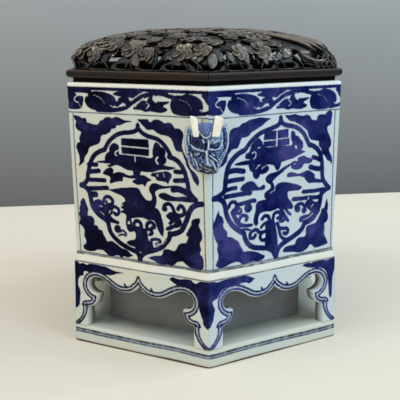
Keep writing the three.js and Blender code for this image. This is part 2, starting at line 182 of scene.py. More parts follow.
def painted_porcelain(name, ink_tones, tints):
    """Cobalt painted under a clear glaze. Washes run uneven, and heavy strokes turn nearly black."""
    material, tree = new_material(name)
    layers = stored(tree, "brushwork")
    wobble = calculate(tree, "SUBTRACT", object_noise(tree, 900.0, detail=2.0), 0.5)
    # The glaze is painted whiter over the top of the lip, a painted highlight where light from above falls on
    # it.
    lip_painted_highlight = fade(tree, along_axis(tree), MOUTH_HEIGHT - 2.2 * MM, MOUTH_HEIGHT - 1.2 * MM, 0.7)
    colour = blend(tree, lip_painted_highlight, glaze_base(tree, tints), "#f4f3ec")
    heap = object_noise(tree, 190.0, detail=4.0, roughness=0.6)
    broad = object_noise(tree, 45.0, detail=2.0)
    ink_tone = calculate(tree, "MULTIPLY_ADD", heap, 0.55, broad)
    ink = ramp(tree, ink_tone, zip((0.6, 0.78, 0.97), ink_tones))
    wash = ramp(tree, heap, [(0.3, "#182464"), (0.7, "#303e82")])
    line = ramp(tree, heap, [(0.3, "#36465c"), (0.7, "#6a7a8c")])
    for layer, tone, soft, ragged, grow, most in (
        ("X", "#5268a0", 0.55, 0.6, 0.25, 0.62),
        ("Y", wash, 0.3, 0.4, 0.0, 0.8),
        ("Z", line, 0.2, 0.25, 0.0, 1.0),
        ("X", ink, 0.2, 0.45, 0.17, 1.0),
    ):
        share = painted_share(tree, wobble, layers[layer], soft, ragged, grow, most)
        colour = blend(tree, share, colour, tone)
    close_shader(tree, {"Base Color": colour, **GLAZE_GLOSS}, object_noise(tree, 260.0, detail=1.0), 0.06)
    return material


# A shaded and a lit copy of the painted glaze, each with a name, ink tones and glaze tints. The second is
# lighter and bluer as painted light.
COBALTS = (
    ("heavy_cobalt_painted_shade", ("#01011c", "#0d1034", "#262a5c"), GLAZE_TINTS),
    ("violet_cobalt_painted_light", ("#020a48", "#1a245e", "#3e3c7c"), ("#c3d3dc", "#c8d0d2")),
)


def cobalt_of(side):
    """Heavy dark cobalt and a warm glaze on the even sides, partly heavier ink and partly painted shade; a
    thinner violet cobalt and a bluer glaze on the odd sides, partly thinner ink and partly painted light and
    a painted reflection of a cool window.
    """
    name, tones, tints = COBALTS[side % 2]
    return bpy.data.materials.get(name) or painted_porcelain(name, tones, tints)


def shaded_core_body():
    """Porcelain with next to no glaze on it, coloured a dull dark grey as painted shade for the core that
    stands out of the light behind the arcade.
    """
    material, tree = new_material("grey_core_body_painted_shade")
    # Painted shade: a dark grey for the core behind the arcade.
    base = ramp(tree, object_noise(tree, 60.0), [(0.35, "#67686a"), (0.65, "#737678")])
    close_shader(tree, {"Base Color": base, "Roughness": 0.6}, object_noise(tree, 900.0), 0.15)
    return material


def waxed_hardwood(name, tones, gloss, shine, painted_light_top=None):
    """Dense dark hardwood, stained and waxed, with a faint straight grain. A pale line along the top edge is
    a painted highlight, and the lower bevel is painted lighter as a reflection of the pale porcelain and
    cloth below it."""
    material, tree = new_material(name)
    place = add(tree, "ShaderNodeTexCoord").outputs["Object"]
    stretched = add(tree, "ShaderNodeMapping", {"Vector": place, "Scale": (60.0, 60.0, 500.0)}).outputs[0]
    grain = add(tree, "ShaderNodeTexNoise", {"Vector": stretched, "Scale": 1.0, "Detail": 4.0}).outputs["Fac"]
    base = ramp(tree, grain, zip((0.3, 0.55, 0.75), tones))
    if painted_light_top:
        # A painted highlight along the top edge, and a painted reflection of the pale porcelain and cloth on
        # the lower bevel.
        for start, end, code in ((0.7, 0.3, "#4e443c"), (2.6, 3.6, "#2a211c")):
            share = fade(tree, along_axis(tree), painted_light_top - start * MM, painted_light_top - end * MM, 0.75)
            base = blend(tree, share, base, code)
    rough = fade(tree, object_noise(tree, 400.0), 0.0, 1.0, gloss + 0.2, gloss)
    inputs = {"Base Color": base, "Roughness": rough, "IOR": 1.5, "Specular IOR Level": shine}
    close_shader(tree, inputs, grain, 0.06)
    return material


def carved_hardwood():
    """The carved wood, dark brown in patches. Rims and tops that stand level with the dome turn a waxy
    grey-brown, partly wear and partly painted highlight. The sunk ground of the carving and the low zone just
    over the rails are painted near black as shade.
    """
    material, tree = new_material("carved_dark_wood_painted_shade")
    depth = add(tree, "ShaderNodeAttribute", attribute_name="depth").outputs["Fac"]
    patches = object_noise(tree, 130.0)
    base = ramp(tree, patches, [(0.35, "#241b15"), (0.5, "#3b3026"), (0.65, "#574b3e")])
    # Partly wear and partly a painted highlight on the rims and tops that stand level with the dome.
    base = blend(tree, fade(tree, depth, 0.6 * MM, 0.2 * MM, 0.55), base, "#85786a")
    # Painted shade: the deeper the carving lies under the dome's surface, the nearer black it is painted.
    sunk = fade(tree, depth, 0.4 * MM, 1.6 * MM)
    base = blend(tree, sunk, base, "#050403")
    # Painted shade: the dome is painted near black low down, just over the rails.
    low = fade(tree, along_axis(tree), RAIL_TOP + 4 * MM, RAIL_TOP + 1.5 * MM, 0.85)
    base = blend(tree, low, base, "#050505")
    fine = object_noise(tree, 600.0)
    inputs = {"Base Color": base, "Roughness": fade(tree, fine, 0.0, 1.0, 0.5, 0.3)}
    inputs |= {"IOR": 1.5, "Specular IOR Level": 0.4, "Coat Weight": fade(tree, sunk, 0.0, 1.0, 0.16, 1.0)}
    inputs |= {"Coat Roughness": 0.1, "Coat IOR": 1.45}
    close_shader(tree, inputs, fine, 0.15)
    return material


def horn_glaze():
    """Clay left white under clear glaze. It looks creamy and a little thick at the edges."""
    material, tree = new_material("cream_glazed_horn")
    base = ramp(tree, object_noise(tree, 220.0), [(0.35, "#efe8d6"), (0.65, "#faf7ee")])
    inputs = {"Base Color": base, "Roughness": 0.2, "IOR": 1.5}
    close_shader(tree, inputs, object_noise(tree, 900.0), 0.1)
    return material


# What stands for no paint near, in millimetres to the paint's edge.
FAR = 9.0


def smoothed(points, closed=False, steps=6):
    """A smooth line through given points. A point given twice running makes a corner."""
    chosen = np.array(points, float)
    count = len(chosen)
    if closed:
        chosen = np.vstack((chosen[-1], chosen, chosen[0], chosen[1]))
    else:
        chosen = np.vstack((chosen[0], chosen, chosen[-1]))
        count -= 1
    share = np.linspace(0, 1, steps, endpoint=False)[:, None]
    line = []
    for i in range(count):
        a, b, c, d = chosen[i : i + 4]
        bend = (-a + 3 * b - 3 * c + d) * share**3 + (2 * a - 5 * b + 4 * c - d) * share**2
        line.append(b + 0.5 * (bend + (c - a) * share))
    if not closed:
        line.append(chosen[-2:-1])
    return np.vstack(line)


def bezier(a, b, c, d, steps=12):
    """Points on a curve from a to d that is drawn towards b and c."""
    points = []
    for i in range(steps + 1):
        t = i / steps
        weights = ((1 - t) ** 3, 3 * t * (1 - t) ** 2, 3 * t * t * (1 - t), t**3)
        points.append(tuple(sum(w * p[k] for w, p in zip(weights, (a, b, c, d))) for k in range(2)))
    return points


def polyline_distance(places, line):
    """How far each place is from a line of points."""
    best = np.full(len(places), FAR)
    for a, b in zip(line[:-1], line[1:]):
        run = b - a
        share = np.clip((places - a) @ run / max(run @ run, 1e-9), 0, 1)
        best = np.minimum(best, np.linalg.norm(places - a - share[:, None] * run, axis=1))
    return best


def inside_outline(places, line):
    """Whether each place lies inside a closed line."""
    inside = np.zeros(len(places), bool)
    for a, b in zip(line[:-1], line[1:]):
        if a[1] != b[1]:
            spans = (a[1] > places[:, 1]) != (b[1] > places[:, 1])
            crossing = a[0] + (places[:, 1] - a[1]) * (b[0] - a[0]) / (b[1] - a[1])
            inside ^= spans & (places[:, 0] < crossing)
    return inside


class Brushwork:
    """Paint on a flat field of points, in millimetres. Each colour is kept as the distance to its edge."""

    REACH = 1.5

    def __init__(self, across, height):
        self.points = np.column_stack((across, height))
        self.layers = {name: np.full(len(self.points), FAR) for name in ("ink", "wash", "line")}

    def lay(self, layer, low, high, measure, reserve=False):
        """Adds a shape to a colour, or takes it out of it."""
        near = np.all((self.points > low - self.REACH) & (self.points < high + self.REACH), axis=1)
        if near.any():
            distance = measure(self.points[near])
            field = self.layers[layer]
            field[near] = np.maximum(field[near], -distance) if reserve else np.minimum(field[near], distance)

    def stroke(self, points, width, layer="ink", reserve=False):
        """Lays a line of one width."""
        line = smoothed(points, steps=5)

        def measure(places):
            return polyline_distance(places, line) - width / 2

        self.lay(layer, line.min(0) - width / 2, line.max(0) + width / 2, measure, reserve)

    def fill(self, points, layer="ink", steps=4):
        """Lays a filled shape."""
        line = smoothed(points, closed=True, steps=steps)
        line = np.vstack((line, line[:1]))

        def measure(places):
            distance = polyline_distance(places, line)
            return np.where(inside_outline(places, line), -distance, distance)

        self.lay(layer, line.min(0), line.max(0), measure)

    def store(self, bm):
        """Keeps the distances with the vertices."""
        store_vectors(bm, "brushwork", np.column_stack(list(self.layers.values())))


# A crane that lifts its head over waves, under clouds that carry a trigram.
RISING_CRANE = {
    "frame": [
        (1.9, [(1.3, 117.9), (1.3, 116.6), (0.1, 115.1), (-3.1, 114.1), (-7, 113.7), (-10.4, 112.7),
            (-13.3, 111.1), (-15.7, 109), (-17.5, 106.6), (-18.8, 104.5)]),
        (2.1, [(-18.8, 104.5), (-21.7, 103.5), (-24.4, 101.9), (-26.3, 99.8), (-27.9, 96.9),
            (-28.8, 94.3), (-29.6, 91.1), (-30.1, 88.2), (-32, 86.2), (-34.1, 85.3)]),
        (1.9, [(1.3, 117.9), (1.3, 116.6), (2.7, 115.1), (4.8, 113.6), (7.5, 112.7), (10.6, 112.1),
            (13.3, 111.1), (15.9, 109), (17.7, 106.9), (18.9, 104.8), (19.3, 103.2)]),
        (2.1, [(18.5, 103.5), (21.4, 102.8), (24.1, 101), (26.2, 98.1), (27.4, 94.9), (28.3, 91.6),
            (28.8, 88.5), (30.1, 86.1), (32.7, 83.7)]),
        (2.4, [(-34.1, 85.2), (-31.5, 84.3), (-29.4, 82.3), (-28.6, 79.2), (-27.8, 75.5), (-26.2, 72.8),
            (-23.6, 70.5), (-19.9, 68.4), (-18.3, 67.1)]),
        (2.2, [(-18.3, 67.1), (-17.7, 63.9), (-16.5, 61.3), (-13.6, 58.6), (-9.9, 56.4), (-5.2, 54.7),
            (-1.5, 53.4), (-0.1, 51.3), (0.1, 48.4)]),
        (2.4, [(35.9, 82.1), (33.8, 81.7), (30.9, 80.2), (29.1, 77.6), (27.9, 74.4), (26.5, 71.3),
            (24.3, 67.8), (20.9, 65.9), (18, 65.5)]),
        (2.2, [(18, 65.5), (17.5, 63.1), (15.6, 60.5), (12.7, 57.7), (8.5, 55.7), (4.3, 54.2),
            (1.4, 52.3), (0.3, 50.2), (0.2, 48.4)]),
    ],
    "fills": [
        [(-36.5, 120.8), (-33.3, 120.3), (-31.5, 119.5), (-29.9, 119.8), (-29, 118.7), (-29, 117.7),
            (-26.7, 117.2), (-23.3, 116.6), (-21.7, 117.2), (-20.7, 118.7), (-18.8, 119.3),
            (-17.3, 120.6), (-15.2, 120.8), (-13.6, 120.3), (-11.5, 121.1), (-9.4, 120.8), (-7.8, 120.1),
            (-5.7, 119.6), (-2.8, 119.5), (-2.8, 119.3), (-5.7, 118.9), (-7.8, 117.9), (-9.4, 117.3),
            (-10.9, 117.3), (-12, 115.8), (-14.1, 115.3), (-15.2, 113.7), (-17.3, 112.6), (-19.9, 111.9),
            (-20.9, 110.6), (-21.2, 109), (-22.5, 107.4), (-25.2, 106.4), (-27.8, 105.3), (-28.6, 104),
            (-29.4, 102.2), (-31.5, 99.5), (-31.7, 97.9), (-33.6, 96.1), (-34.9, 95.3), (-34.9, 95.4),
            (-34.1, 97.4), (-34.4, 100.6), (-35.2, 102.7), (-35.9, 104.8), (-35.2, 106.8), (-33.6, 107.4),
            (-33.8, 109.5), (-32.8, 111.6), (-32.5, 112.7), (-34.6, 113.7), (-35.8, 115.3),
            (-35.7, 116.9), (-35.2, 117.9), (-36.2, 119)],
        [(1.4, 120.5), (1.4, 120.6), (4.3, 120.7), (6.9, 120.8), (7.6, 119.9), (9.1, 119.5),
            (10.1, 120.6), (12.7, 120.9), (14.8, 120.2), (16.4, 119.3), (18.5, 119.9), (20.6, 119),
            (21.9, 117.3), (24.3, 117.2), (25.9, 115.8), (26.4, 114.3), (25.9, 112.2), (25.4, 109.5),
            (25.9, 107.4), (26.9, 105.3), (28.5, 102.7), (29.1, 100.6), (30.1, 98.5), (32.2, 96.9),
            (33.8, 94.8), (34.4, 92.7), (33.8, 91), (33.8, 90.9), (32.5, 92.2), (31.4, 93.7),
            (30.6, 95.8), (29.6, 97.9), (28, 100.1), (27.5, 102.2), (26.4, 104.8), (25.4, 106.4),
            (22.7, 106.9), (21.4, 109), (20.9, 110.6), (19.8, 112.7), (17.5, 113.7), (13.8, 114.2),
            (11.7, 115.1), (9.6, 116.4), (6.9, 116), (4.3, 117.9), (2.7, 119.5)],
        [(-33.3, 78.4), (-33.3, 78.3), (-32.4, 77.6), (-31.7, 75.5), (-30.6, 72.8), (-31.2, 70.2),
            (-30.8, 69.2), (-28.8, 69.2), (-27.4, 68.1), (-26.9, 66), (-27.5, 64.9), (-25.2, 64.4),
            (-24.3, 62.6), (-22.5, 62.3), (-21.6, 60.2), (-20.2, 58.1), (-19.4, 56.8), (-16.7, 57.3),
            (-14.1, 56.3), (-10.9, 54.4), (-7.8, 53.9), (-5.7, 52.3), (-4, 51.4), (-4, 51.3),
            (-5.7, 50.7), (-7.3, 50.1), (-9.4, 50.5), (-10.9, 49.4), (-12.5, 50.5), (-14.6, 50.2),
            (-16.7, 49.4), (-18.8, 49.7), (-20.2, 50.7), (-22, 51.9), (-25.7, 51.9), (-28.3, 50.7),
            (-31.5, 50.4), (-34.1, 51.2), (-34.4, 52.8), (-32.9, 53.9), (-32.5, 56), (-33.6, 58.1),
            (-33.3, 60.2), (-33.6, 62.3), (-35.2, 63.8), (-36.3, 64.9), (-35.6, 67.6), (-36.5, 69.7),
            (-35.6, 71.3), (-35.9, 72.8), (-35.1, 74.9), (-34.9, 76.5)],
        [(34.4, 74.8), (34.4, 74.7), (34.6, 73.4), (33.9, 71.3), (34.9, 69.2), (35.6, 67.1), (35.6, 64.9),
            (34.6, 63.4), (34.3, 61.8), (34.9, 59.7), (34.3, 57.1), (35.7, 56), (36.2, 53.9), (36, 50.2),
            (33.8, 49.4), (31.2, 49.4), (28.5, 50.1), (26.4, 51.3), (24.8, 52.4), (22.2, 51.9),
            (20.6, 50.7), (19.1, 49.3), (15.9, 49.7), (13.3, 49.1), (10.6, 49.7), (8.5, 50.5),
            (5.6, 51.4), (5.6, 51.5), (8, 52.6), (10.6, 53.1), (12.7, 53.5), (13.8, 54.9), (14.3, 56.6),
            (16.9, 57.2), (20.1, 56.8), (21.7, 58.1), (22.7, 60.2), (24.8, 61.4), (27.1, 61.8),
            (28, 63.9), (28.5, 64.9), (27.1, 66), (28, 67.6), (29.1, 69.7), (30.1, 71.3), (30.4, 73.4),
            (32.2, 74.5)],
        [(-8.5, 110.8), (-8.5, 107.6), (7.2, 107.3), (6.9, 111.1)],
        [(-8.5, 106.5), (-8.3, 103.6), (6.9, 103.2), (7.2, 106.3)],
        [(-18.6, 99.5), (-18.1, 101.9), (-16.7, 103.2), (-15.7, 104), (-15.9, 105.3), (-14.6, 107.2),
            (-12.8, 108.1), (-10.8, 107.5), (-10.2, 106.1), (-10.3, 104.3), (-10.2, 102.8), (-7.8, 102.6),
            (2.7, 102.4), (7.2, 102), (9.6, 102.9), (9.3, 104.8), (9.8, 107.4), (10.6, 109.5),
            (11.7, 109.9), (13.2, 109), (13.9, 107.9), (15.7, 107.3), (16.5, 105.3), (16, 103.7),
            (16.8, 102.2), (16.2, 100.3), (14.6, 99.4), (16.9, 98.9), (21.2, 98.5), (21.2, 98.2),
            (18.5, 97.4), (13.8, 97.1), (11.2, 96.3), (8.5, 95.5), (5.4, 95.3), (2.2, 95.2), (1.6, 93.3),
            (0.1, 92.6), (-2, 93.1), (-2.3, 95.1), (-5.2, 95.4), (-7.8, 96.2), (-10.4, 97.3),
            (-12.5, 97.3), (-15.7, 96.3), (-17.3, 96.6), (-14.6, 97.8), (-18.8, 97.8), (-22.8, 97.9),
            (-23.1, 98.3), (-18.8, 98.9), (-16.7, 99.2)],
        [(-20.2, 92.4), (-19.3, 93.7), (-17.8, 94.9), (-15.7, 95.6), (-14, 94.8), (-14.3, 93.2),
            (-13.8, 92.7), (-11.5, 93.6), (-8.3, 93.5), (-5.2, 92.5), (-2.3, 92.8), (-1.1, 93.6),
            (1.7, 93.2), (4.3, 93.2), (5.9, 92.4), (8.1, 91.4), (6.4, 90.7), (5.4, 89.9), (4.3, 87.9),
            (3.3, 89), (0.1, 88.5), (-2.3, 89.3), (-2.3, 90.1), (-0.2, 91.4), (-2.5, 91.4), (-5.2, 91.4),
            (-7.8, 91.8), (-8.5, 90.8), (-8.8, 89.5), (-10.9, 89.2), (-13.6, 88.6), (-15.7, 87.8),
            (-16.3, 88.2), (-15.7, 90.1), (-16.5, 91.3), (-18.3, 91.8)],
        [(8.1, 94), (9.1, 94.9), (10.6, 95.1), (13.8, 95.7), (16.9, 96.2), (19.2, 95.3), (19.4, 93.7),
            (18.5, 92.4), (17.5, 90.5), (16.4, 91.3), (13.8, 91.4), (11.2, 91.8), (10.6, 93.1),
            (8.8, 93.4)],
        [(12.2, 83.9), (13.3, 85.2), (15.9, 85.5), (18, 84.8), (21.2, 84.1), (26.4, 84.7), (31.2, 84.9),
            (33.3, 82.8), (30.6, 82.5), (23.8, 82.4), (16.9, 82), (13.8, 82.7)],
        [(-16.7, 84.2), (-16.7, 84.3), (-12.5, 85.1), (-7.8, 86), (-0.9, 86.7), (0.9, 85.9), (1.8, 84.4),
            (3.4, 82.4), (4.7, 81.2), (6.9, 80.7), (8.3, 81.8), (8.4, 83.4), (7.5, 85.2), (6.8, 86.3),
            (7.2, 88.1), (8.5, 89.4), (10.1, 89.8), (12.5, 89.5), (14.8, 88.9), (18.5, 89.2),
            (21.8, 89.8), (21.8, 89.7), (18.5, 88.6), (15.1, 87.9), (12.5, 87.3), (10.6, 86.3),
            (10, 85.2), (10.6, 82.8), (10.6, 80.2), (9.8, 77.8), (11.2, 77.1), (12.6, 75.4), (13.4, 72.8),
            (14.2, 69.7), (14.4, 66.5), (13.9, 63.9), (13, 64.3), (11.7, 66), (10.6, 68.6), (9.8, 70.6),
            (8.5, 71.4), (5.4, 71.3), (2.7, 71.9), (0.1, 71.9), (-2, 71.4), (-4.1, 70.9), (-5.4, 69.5),
            (-7, 69.1), (-6.8, 71), (-7.8, 72.8), (-10.4, 73.5), (-8.3, 74.8), (-10.1, 76), (-8.1, 77.2),
            (-9.6, 77.7), (-7.7, 78.9), (-7.4, 79.9), (-8.3, 81.3), (-10.4, 82.4), (-13.6, 83.2)],
        [(-7, 66.8), (-5.2, 67.6), (-2, 67.1), (2.2, 66.5), (4.6, 65.7), (5.1, 62.3), (5.6, 60.6),
            (7.1, 59.2), (8.5, 56.8), (5.4, 54.3), (-2, 54.3), (-5.7, 55.5), (-7.5, 57.6), (-5.2, 59.2),
            (-2.8, 59.7), (-1.7, 61.8), (-2.5, 64.4), (-5.2, 63.8), (-6.7, 64.9)],
        [(-26.7, 75.7), (-26.2, 77.6), (-24.4, 78.5), (-22.4, 78.4), (-21.2, 77.1), (-18.8, 76),
            (-16.7, 75.2), (-15.4, 73.9), (-15.7, 72.1), (-16.7, 70.7), (-14.6, 69.2), (-12.5, 68.1),
            (-15.7, 67.2), (-19.4, 69.1), (-23.1, 70.2), (-25.7, 72.8)],
        [(16.4, 74.7), (18.5, 76.3), (21.2, 76.3), (22.7, 74.9), (24.4, 72.8), (24.7, 71), (23, 69.4),
            (20.1, 68.6), (18, 67.3), (15.9, 67.3), (16.4, 68.6), (18.5, 69.7), (17.2, 70.7),
            (18.5, 72.1), (16.5, 73.6)],
    ],
    "strokes": [
        (2.0, [(-28.8, 96.3), (-26.2, 96.5), (-24.1, 96.6)]),
        (2.1, [(-28.8, 92.7), (-25.2, 93.1), (-22.8, 93.5)]),
        (1.9, [(-29.6, 88.4), (-24.1, 88.7), (-19.4, 88.9)]),
        (1.9, [(21.7, 96.6), (23.8, 96.6), (26.9, 97)]),
        (2.0, [(21.4, 92.2), (24.3, 92.5), (28, 92.9)]),
        (2.9, [(20.4, 87.8), (23.3, 88.2), (26.4, 87.4), (29.1, 86.3)]),
        (2.0, [(-29.1, 83.9), (-24.6, 84.3), (-20.9, 84.8), (-18.1, 85.1)]),
        (2.8, [(-28.2, 80.8), (-25.3, 81.1)]),
        (0.8, [(-6.8, 70.7), (-7, 67.6), (-6.1, 64.9)]),
        (0.9, [(-4.9, 70.8), (-4.4, 68.1), (-4, 66)]),
        (1.7, [(-2.6, 68.4), (-1.4, 69.8), (0.5, 69.5), (1.6, 67.8), (0.9, 66.3)]),
        (1.6, [(4.8, 66.3), (5, 68.9), (6.9, 70.1), (8.8, 69.2), (9.1, 67.6), (7.7, 67.2)]),
        (1.5, [(5.4, 66.5), (7.3, 65.7), (7.7, 64.4), (6.5, 63.7)]),
        (1.3, [(7.2, 59.2), (7.4, 61), (9.8, 61.7), (12.2, 61.3), (11.8, 59.7), (10.1, 59.2)]),
        (0.8, [(-7.5, 62.3), (-9.4, 63.9), (-11.2, 63.1)]),
        (0.7, [(-7.8, 61.3), (-9.9, 61.8), (-12, 61)]),
        (1.6, [(-20.7, 77.8), (-19.5, 80.1), (-17.3, 80.6), (-15.3, 79.2), (-15.2, 77.5), (-16.7, 76.4),
            (-18.2, 76.7), (-18.7, 77.7)]),
        (1.5, [(-15.9, 74.8), (-14.1, 75.8), (-11.9, 74.8), (-11.6, 72.8), (-13.2, 71.7), (-14.4, 72.5)]),
        (1.4, [(-18.8, 69.4), (-15.7, 68.1), (-12.3, 67.7)]),
        (3.8, [(-12.7, 64.3), (-12.6, 64.3)]),
        (1.6, [(14.6, 77.7), (15.4, 79.6), (17.6, 80.5), (19.5, 79.4), (20.4, 77.5), (21.4, 75.7)]),
        (1.7, [(22.8, 78.4), (24.2, 80.1), (26, 78.9), (26.2, 76.5), (24.1, 75.2), (21.4, 75.4),
            (18.5, 74.4)]),
        (2.4, [(15.1, 77.7), (15.5, 77.7)]),
    ],
    "reserved": [
        (0.9, [(-10.4, 104.8), (-11.9, 104), (-12.6, 102.7), (-11.6, 102.1)]),
        (1.1, [(12.2, 102.8), (11.3, 102.3), (11.2, 100.7), (12.2, 99.8)]),
        (0.8, [(-0.8, 102.7), (-0.8, 99.9)]),
        (0.9, [(11.6, 94.4), (11.9, 93.7)]),
        (0.7, [(15.1, 95.3), (15.5, 93.6)]),
        (0.5, [(-0.9, 68), (-2, 68.6)]),
        (0.9, [(-5.2, 59.7), (-3.6, 61.5), (-2.6, 63.1)]),
        (0.9, [(10.6, 59.2), (13.3, 59.7), (15.9, 61.8)]),
        (0.8, [(-14.6, 62.3), (-10.4, 59.2), (-6.2, 56.5), (-2.8, 55.7)]),
        (0.7, [(-23.5, 75.2), (-21.7, 75.1)]),
        (0.7, [(-22.9, 72.3), (-20.9, 71)]),
        (0.9, [(-18.1, 77.8), (-17.3, 78.4)]),
        (0.8, [(-16.7, 73.4), (-17.5, 72.3)]),
        (1.1, [(17.2, 77.8), (17.4, 78.9)]),
        (0.9, [(24.4, 77.8), (23.3, 77.1)]),
        (0.7, [(18, 67.1), (20.9, 67.6), (23.5, 68.8)]),
        (0.6, [(19.3, 70.2), (20.6, 71.3)]),
    ],
}

